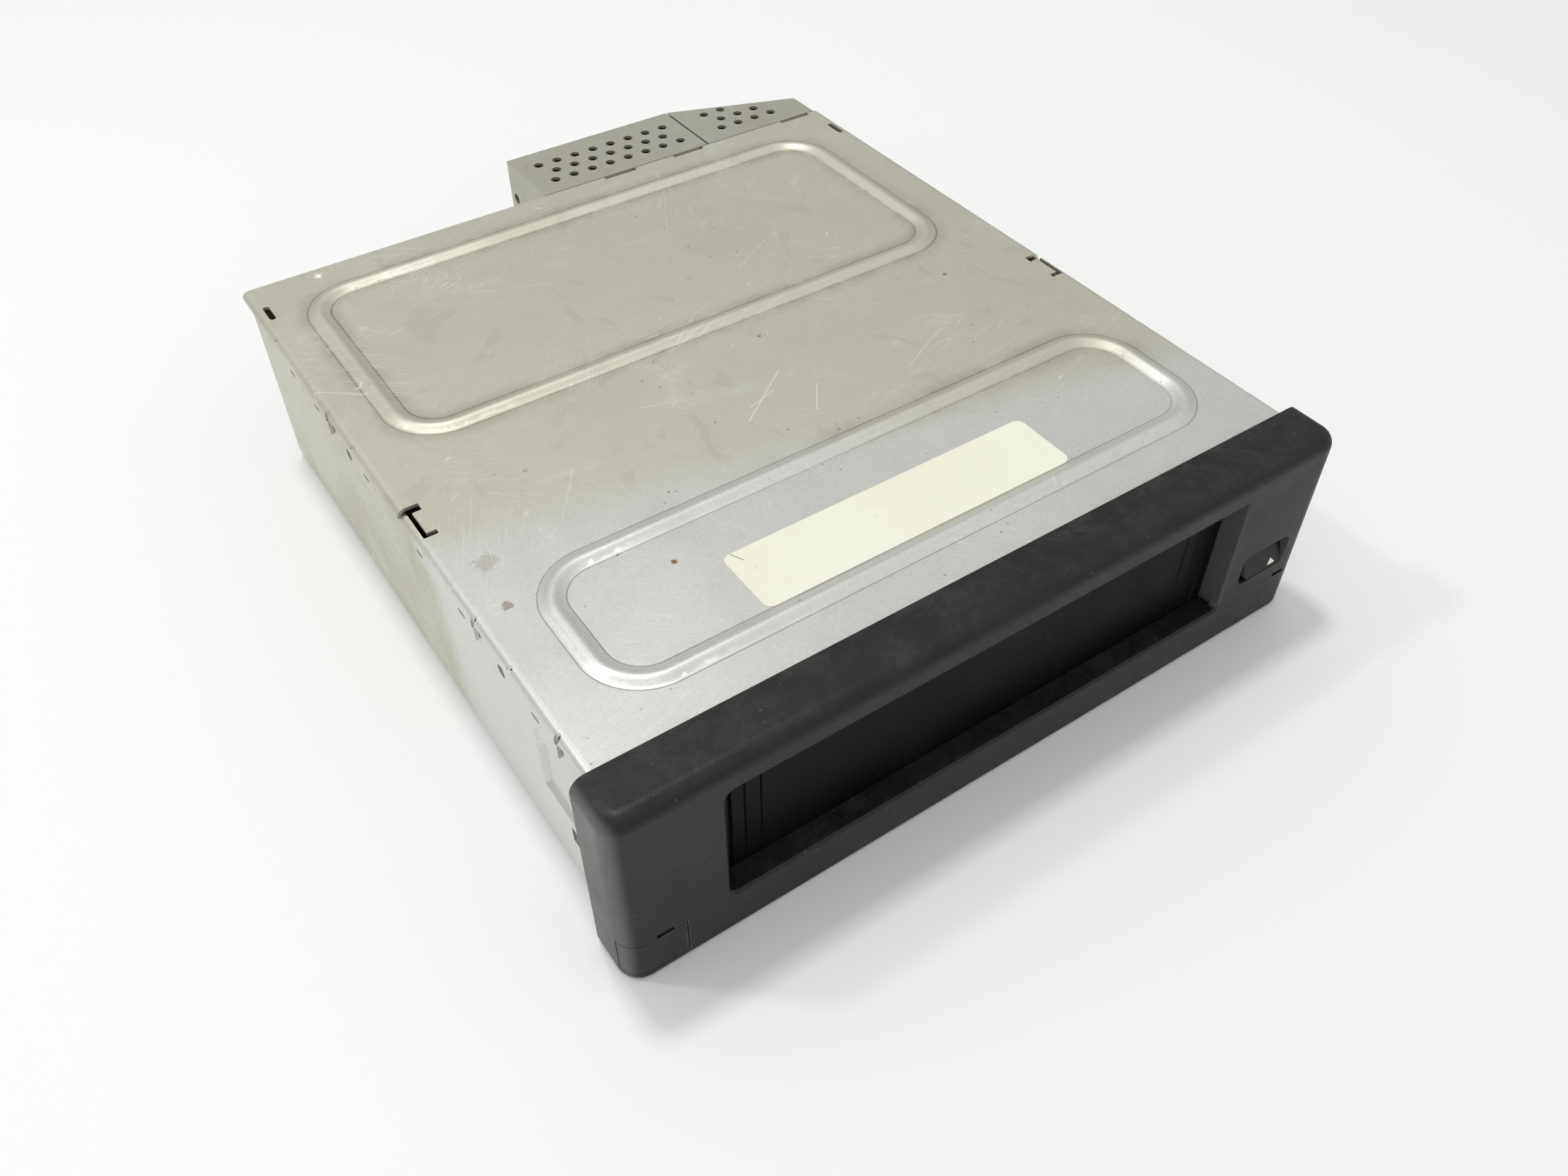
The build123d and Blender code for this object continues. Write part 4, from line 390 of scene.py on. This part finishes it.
def cap_seams(shader, colour):
    """Pale edges, a painted highlight, and a dark gap where each corner cap meets the bezel."""
    patchy = shader.remap(shader.noise(240.0, 4.0, 0.7), 0.40, 0.62, 0.25, 1.0)
    for cap, inner, outer in (("corner_cap_left", 1, 0), ("corner_cap_right", 0, 1)):
        corners = [Vector(corner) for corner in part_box(cap)]
        low, high = corners
        inner_x, outer_x = corners[inner].x, corners[outer].x
        turn_x = outer_x + (bezel_corner if outer == 0 else -bezel_corner)
        runs = (
            ((inner_x, low.y, low.z), (inner_x, low.y, high.z)),
            ((inner_x, low.y, high.z), (turn_x, low.y, high.z)),
            ((outer_x, high.y, low.z), (outer_x, high.y, high.z)),
            ((inner_x, low.y, low.z), (turn_x, low.y, low.z)),
        )
        for start, end in runs:
            distance = shader.from_stroke(start, end)
            # pale patchy band along the seam's edges: painted highlight
            pale = shader.math("MULTIPLY", shader.remap(distance, 0.30 * MM, 0.60 * MM, 0.55, 0.0), patchy)
            colour = shader.mix(pale, colour, (0.10, 0.10, 0.095))
            dark = shader.remap(distance, 0.16 * MM, 0.28 * MM, 1.0, 0.0)
            colour = shader.mix(dark, colour, (0.001, 0.001, 0.001))
    return colour


def simple(name, colour, rough, metal=0.0, grain_scale=600.0, vary=0.15, bump=0.15):
    """A material with gentle tone variation and a fine surface grain."""
    shader = Shader(name)
    broad = shader.noise(70.0, 4.0, 0.6)
    darker = tuple(channel * (1.0 - vary) for channel in colour)
    mixed = shader.mix(shader.remap(broad, 0.35, 0.7), colour, darker)
    grain = shader.noise(grain_scale, 3.0, 0.6)
    roughness = shader.remap(grain, 0.3, 0.7, max(rough - 0.06, 0.03), rough + 0.06)
    return shader.finish(mixed, roughness, metal, shader.bump(grain, bump, 0.02 * MM))


def label_film(name):
    """Cream film with faint yellowing, a few specks and one scratch near its rear left corner."""
    shader = Shader(name)
    cream = (0.80, 0.805, 0.675)
    colour = shader.mix(shader.remap(shader.noise(26.0, 4.0, 0.6), 0.40, 0.70), cream, (0.77, 0.745, 0.61))
    specks = shader.remap(shader.cells(150.0), 0.03, 0.06, 0.35, 0.0)
    colour = shader.mix(specks, colour, (0.45, 0.42, 0.33))
    corner = Vector((label_low.x, label_high.y, label_high.z))
    scratch_start = corner + Vector((2.1, -0.1, 0.0)) * MM
    scratch_end = corner + Vector((3.5, -3.1, 0.0)) * MM
    scratch = shader.remap(shader.from_stroke(scratch_start, scratch_end), 0.05 * MM, 0.16 * MM, 0.85, 0.0)
    colour = shader.mix(scratch, colour, (0.16, 0.14, 0.11))
    rough = shader.remap(shader.noise(300.0, 3.0), 0.3, 0.7, 0.42, 0.52)
    return shader.finish(colour, rough, 0.0, shader.bump(shader.noise(900.0), 0.1, 0.01 * MM))


finishes = {
    "galvanised_sheet": galvanised("galvanised_sheet_look", marks=True),
    "shield_sheet": galvanised("shield_sheet_look", 0.80, 0.8),
    "black_plastic": black_plastic("black_plastic_look", seams=True),
    # the flap uses a darker copy of the bezel's black plastic: painted shade of the window recess
    "flap_plastic": black_plastic("flap_plastic_shaded_look", 0.0030, 0.42, 1500.0, 0.3, 0.08),
    "label_film": label_film("label_film_look"),
    "zinc_screw": simple("zinc_screw_look", (0.72, 0.71, 0.68), 0.28, 1.0, 900.0, 0.2),
    "spring_steel": simple("spring_steel_look", (0.50, 0.50, 0.50), 0.3, 1.0),
    "circuit_board": simple("circuit_board_look", (0.03, 0.16, 0.06), 0.4, 0.0, 300.0, 0.3),
    "chip_black": simple("chip_black_look", (0.02, 0.02, 0.02), 0.5),
    "socket_plastic": simple("socket_plastic_look", (0.03, 0.03, 0.033), 0.45),
    "pin_metal": simple("pin_metal_look", (0.80, 0.62, 0.30), 0.25, 1.0),
    "deck_sheet": simple("deck_sheet_look", (0.58, 0.58, 0.57), 0.35, 1.0),
    "damper_rubber": simple("damper_rubber_look", (0.02, 0.02, 0.02), 0.75),
    "guide_plastic": simple("guide_plastic_look", (0.62, 0.62, 0.57), 0.5),
    "white_plastic": simple("white_plastic_look", (0.78, 0.78, 0.74), 0.45),
    "shaft_steel": simple("shaft_steel_look", (0.62, 0.62, 0.62), 0.2, 1.0),
    "motor_can": simple("motor_can_look", (0.50, 0.50, 0.49), 0.35, 1.0),
    "turntable_plastic": simple("turntable_plastic_look", (0.03, 0.03, 0.03), 0.45),
    "lens_glass": simple("lens_glass_look", (0.15, 0.18, 0.35), 0.05, 0.0, 600.0, 0.05, 0.0),
}

for entry in frame["record"]["subparts"]:
    finish = finishes[entry["material_slot"]]
    for material_slot in nodes[entry["node"]].material_slots:
        material_slot.material = finish


# ---------------------------------------------------------------- mesh helpers
def new_piece(name, mesh, body, slot):
    """Put a mesh in the scene as a piece that rides on a body."""
    piece = bpy.data.objects.new(name, mesh)
    bpy.context.scene.collection.objects.link(piece)
    mesh.materials.append(finishes[slot])
    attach(piece, body)
    return piece


def rounded_rectangle(centre, width, length, corner, corner_steps=14):
    """Points and outward directions along a rounded rectangle in the XY plane."""
    points = []
    middles = [(1, 1, 0), (-1, 1, 90), (-1, -1, 180), (1, -1, 270)]
    for sign_x, sign_y, start in middles:
        middle = Vector((centre[0] + sign_x * (width / 2 - corner),
                         centre[1] + sign_y * (length / 2 - corner)))
        for number in range(corner_steps + 1):
            angle = math.radians(start + 90.0 * number / corner_steps)
            outward = Vector((math.cos(angle), math.sin(angle)))
            points.append((middle + corner * outward, outward))
    return points


def bead_skin(name, centre_x, width, front, rear):
    """The pressed bead as one smooth closed strip, a hair above the solid's own bead."""
    middle = (centre_x, cover_front + (front + rear) / 2)
    run = rounded_rectangle(middle, width - bead_width, rear - front - bead_width, bead_corner)
    steps = 16
    lift = 0.03 * MM            # strip's crown above the solid's bead
    skirt = 0.2 * MM            # strip's top beyond the bead, and its foot inside it
    depth = 0.3 * MM            # foot of the strip inside the sheet
    made = bmesh.new()
    rings = []
    for point, outward in run:
        ring = []
        for number in range(steps + 1):
            across = -1.0 + 2.0 * number / steps
            height = (0.5 + 0.5 * math.cos(math.pi * across)) * (bead_rise + lift)
            place = point + outward * (across * (bead_width / 2 + skirt))
            ring.append(made.verts.new((place.x, place.y, sheet_top + height)))
        for across in (1.0, -1.0):
            place = point + outward * (across * (bead_width / 2 - skirt))
            ring.append(made.verts.new((place.x, place.y, sheet_top - depth)))
        rings.append(ring)
    count = len(rings[0])
    for first, second in zip(rings, rings[1:] + rings[:1]):
        for number in range(count):
            face = made.faces.new((first[number], second[number], second[(number + 1) % count],
                                   first[(number + 1) % count]))
            face.smooth = number < steps
    bmesh.ops.recalc_face_normals(made, faces=made.faces)
    mesh = bpy.data.meshes.new(name)
    made.to_mesh(mesh)
    made.free()
    return new_piece(name, mesh, "case", "galvanised_sheet")


bead_skin("front_bead", *bead_frames[0])
bead_skin("rear_bead", *bead_frames[1])


def eject_triangle():
    """Pale printed triangle near the foot of the button's leaning face, pointing up."""
    from_end = 4.9 * MM
    foot = Vector((button_high.x - from_end, button_low.y, button_stem_low))
    up_face = Vector((0.0, button_lean, button_stem_height)).normalized()
    outward = Vector((1.0, 0.0, 0.0)).cross(up_face).normalized()
    half, base_up, tip_up, skin = 1.25 * MM, 0.7 * MM, 2.3 * MM, 0.03 * MM
    outline = (Vector((-half, base_up)), Vector((half, base_up)), Vector((0.0, tip_up)))
    made = bmesh.new()
    layers = []
    for lift in (-skin, skin):
        raised = foot + outward * lift
        layers.append([made.verts.new(raised + Vector((1, 0, 0)) * place.x + up_face * place.y)
                       for place in outline])
    made.faces.new(layers[0])
    made.faces.new(reversed(layers[1]))
    for number in range(3):
        after = (number + 1) % 3
        made.faces.new((layers[0][number], layers[1][number], layers[1][after], layers[0][after]))
    bmesh.ops.recalc_face_normals(made, faces=made.faces)
    mesh = bpy.data.meshes.new("eject_triangle")
    made.to_mesh(mesh)
    made.free()
    return new_piece("eject_triangle", mesh, "button", "label_film")


eject_triangle()

# ---------------------------------------------------------------- stage
floor_half = 3.0
floor_mesh = bpy.data.meshes.new("floor")
floor_mesh.from_pydata([(-floor_half, -floor_half, 0), (floor_half, -floor_half, 0),
                        (floor_half, floor_half, 0), (-floor_half, floor_half, 0)], [], [(0, 1, 2, 3)])
floor = bpy.data.objects.new("floor", floor_mesh)
bpy.context.scene.collection.objects.link(floor)
table = Shader("table_look")
table.finish((0.86, 0.87, 0.86), 0.6)
floor_mesh.materials.append(table.material)


def area_lamp(name, place, aim, size, power):
    """A soft square lamp that faces a point."""
    lamp = bpy.data.lights.new(name, "AREA")
    lamp.shape = "SQUARE"
    lamp.size = size
    lamp.energy = power
    holder = bpy.data.objects.new(name, lamp)
    bpy.context.scene.collection.objects.link(holder)
    holder.location = place
    holder.rotation_euler = (Vector(aim) - Vector(place)).to_track_quat("-Z", "Y").to_euler()


area_lamp("key_lamp", (-0.70, 0.45, 1.10), (0, 0, 0.02), 0.10, 2.4)
area_lamp("top_lamp", (-0.05, 0.24, 1.35), (0, -0.05, 0.02), 0.14, 5.2)

world = bpy.data.worlds.new("studio")
bpy.context.scene.world = world
world.use_nodes = True
sky = world.node_tree
background = sky.nodes["Background"]
direction = sky.nodes.new("ShaderNodeTexCoord")
split = sky.nodes.new("ShaderNodeSeparateXYZ")
sky.links.new(direction.outputs["Generated"], split.inputs[0])


def sky_ramp(axis, low, high, dim, bright):
    """Strength of the sky along one axis of the direction it is seen in."""
    ramp = sky.nodes.new("ShaderNodeMapRange")
    sky.links.new(split.outputs[axis], ramp.inputs["Value"])
    for socket, value in zip(("From Min", "From Max", "To Min", "To Max"), (low, high, dim, bright)):
        ramp.inputs[socket].default_value = value
    return ramp.outputs[0]


strength = sky_ramp("Z", 0.10, 0.80, 0.50, 0.80)
for factor in (sky_ramp("X", -0.20, 0.80, 1.05, 0.80), sky_ramp("Y", -0.80, 0.50, 1.40, 0.88)):
    product = sky.nodes.new("ShaderNodeMath")
    product.operation = "MULTIPLY"
    sky.links.new(strength, product.inputs[0])
    sky.links.new(factor, product.inputs[1])
    strength = product.outputs[0]
sky.links.new(strength, background.inputs["Strength"])
background.inputs["Color"].default_value = (0.95, 0.96, 0.955, 1.0)

# ---------------------------------------------------------------- camera at the photograph's place
camera_place = Vector((-135.84, -225.68, 232.72)) * MM
camera_azimuth = 34.253          # degrees to the right of +Y
camera_elevation = 45.512        # degrees downwards
camera_roll = -0.163
camera_lens = 30.05

azimuth = math.radians(camera_azimuth)
elevation = math.radians(camera_elevation)
forward = Vector((math.cos(elevation) * math.sin(azimuth), math.cos(elevation) * math.cos(azimuth),
                  -math.sin(elevation)))
level_right = Vector((math.cos(azimuth), -math.sin(azimuth), 0))
level_up = level_right.cross(forward)
roll = math.radians(camera_roll)
right = math.cos(roll) * level_right + math.sin(roll) * level_up
up = right.cross(forward)
camera = bpy.data.cameras.new("camera")
camera.lens = camera_lens
camera.sensor_width = 36.0
camera.clip_start = 0.01
camera_holder = bpy.data.objects.new("camera", camera)
bpy.context.scene.collection.objects.link(camera_holder)
camera_holder.matrix_world = Matrix((
    (right.x, up.x, -forward.x, camera_place.x),
    (right.y, up.y, -forward.y, camera_place.y),
    (right.z, up.z, -forward.z, camera_place.z),
    (0, 0, 0, 1),
))
bpy.context.scene.camera = camera_holder
bpy.context.scene.view_settings.view_transform = "Standard"
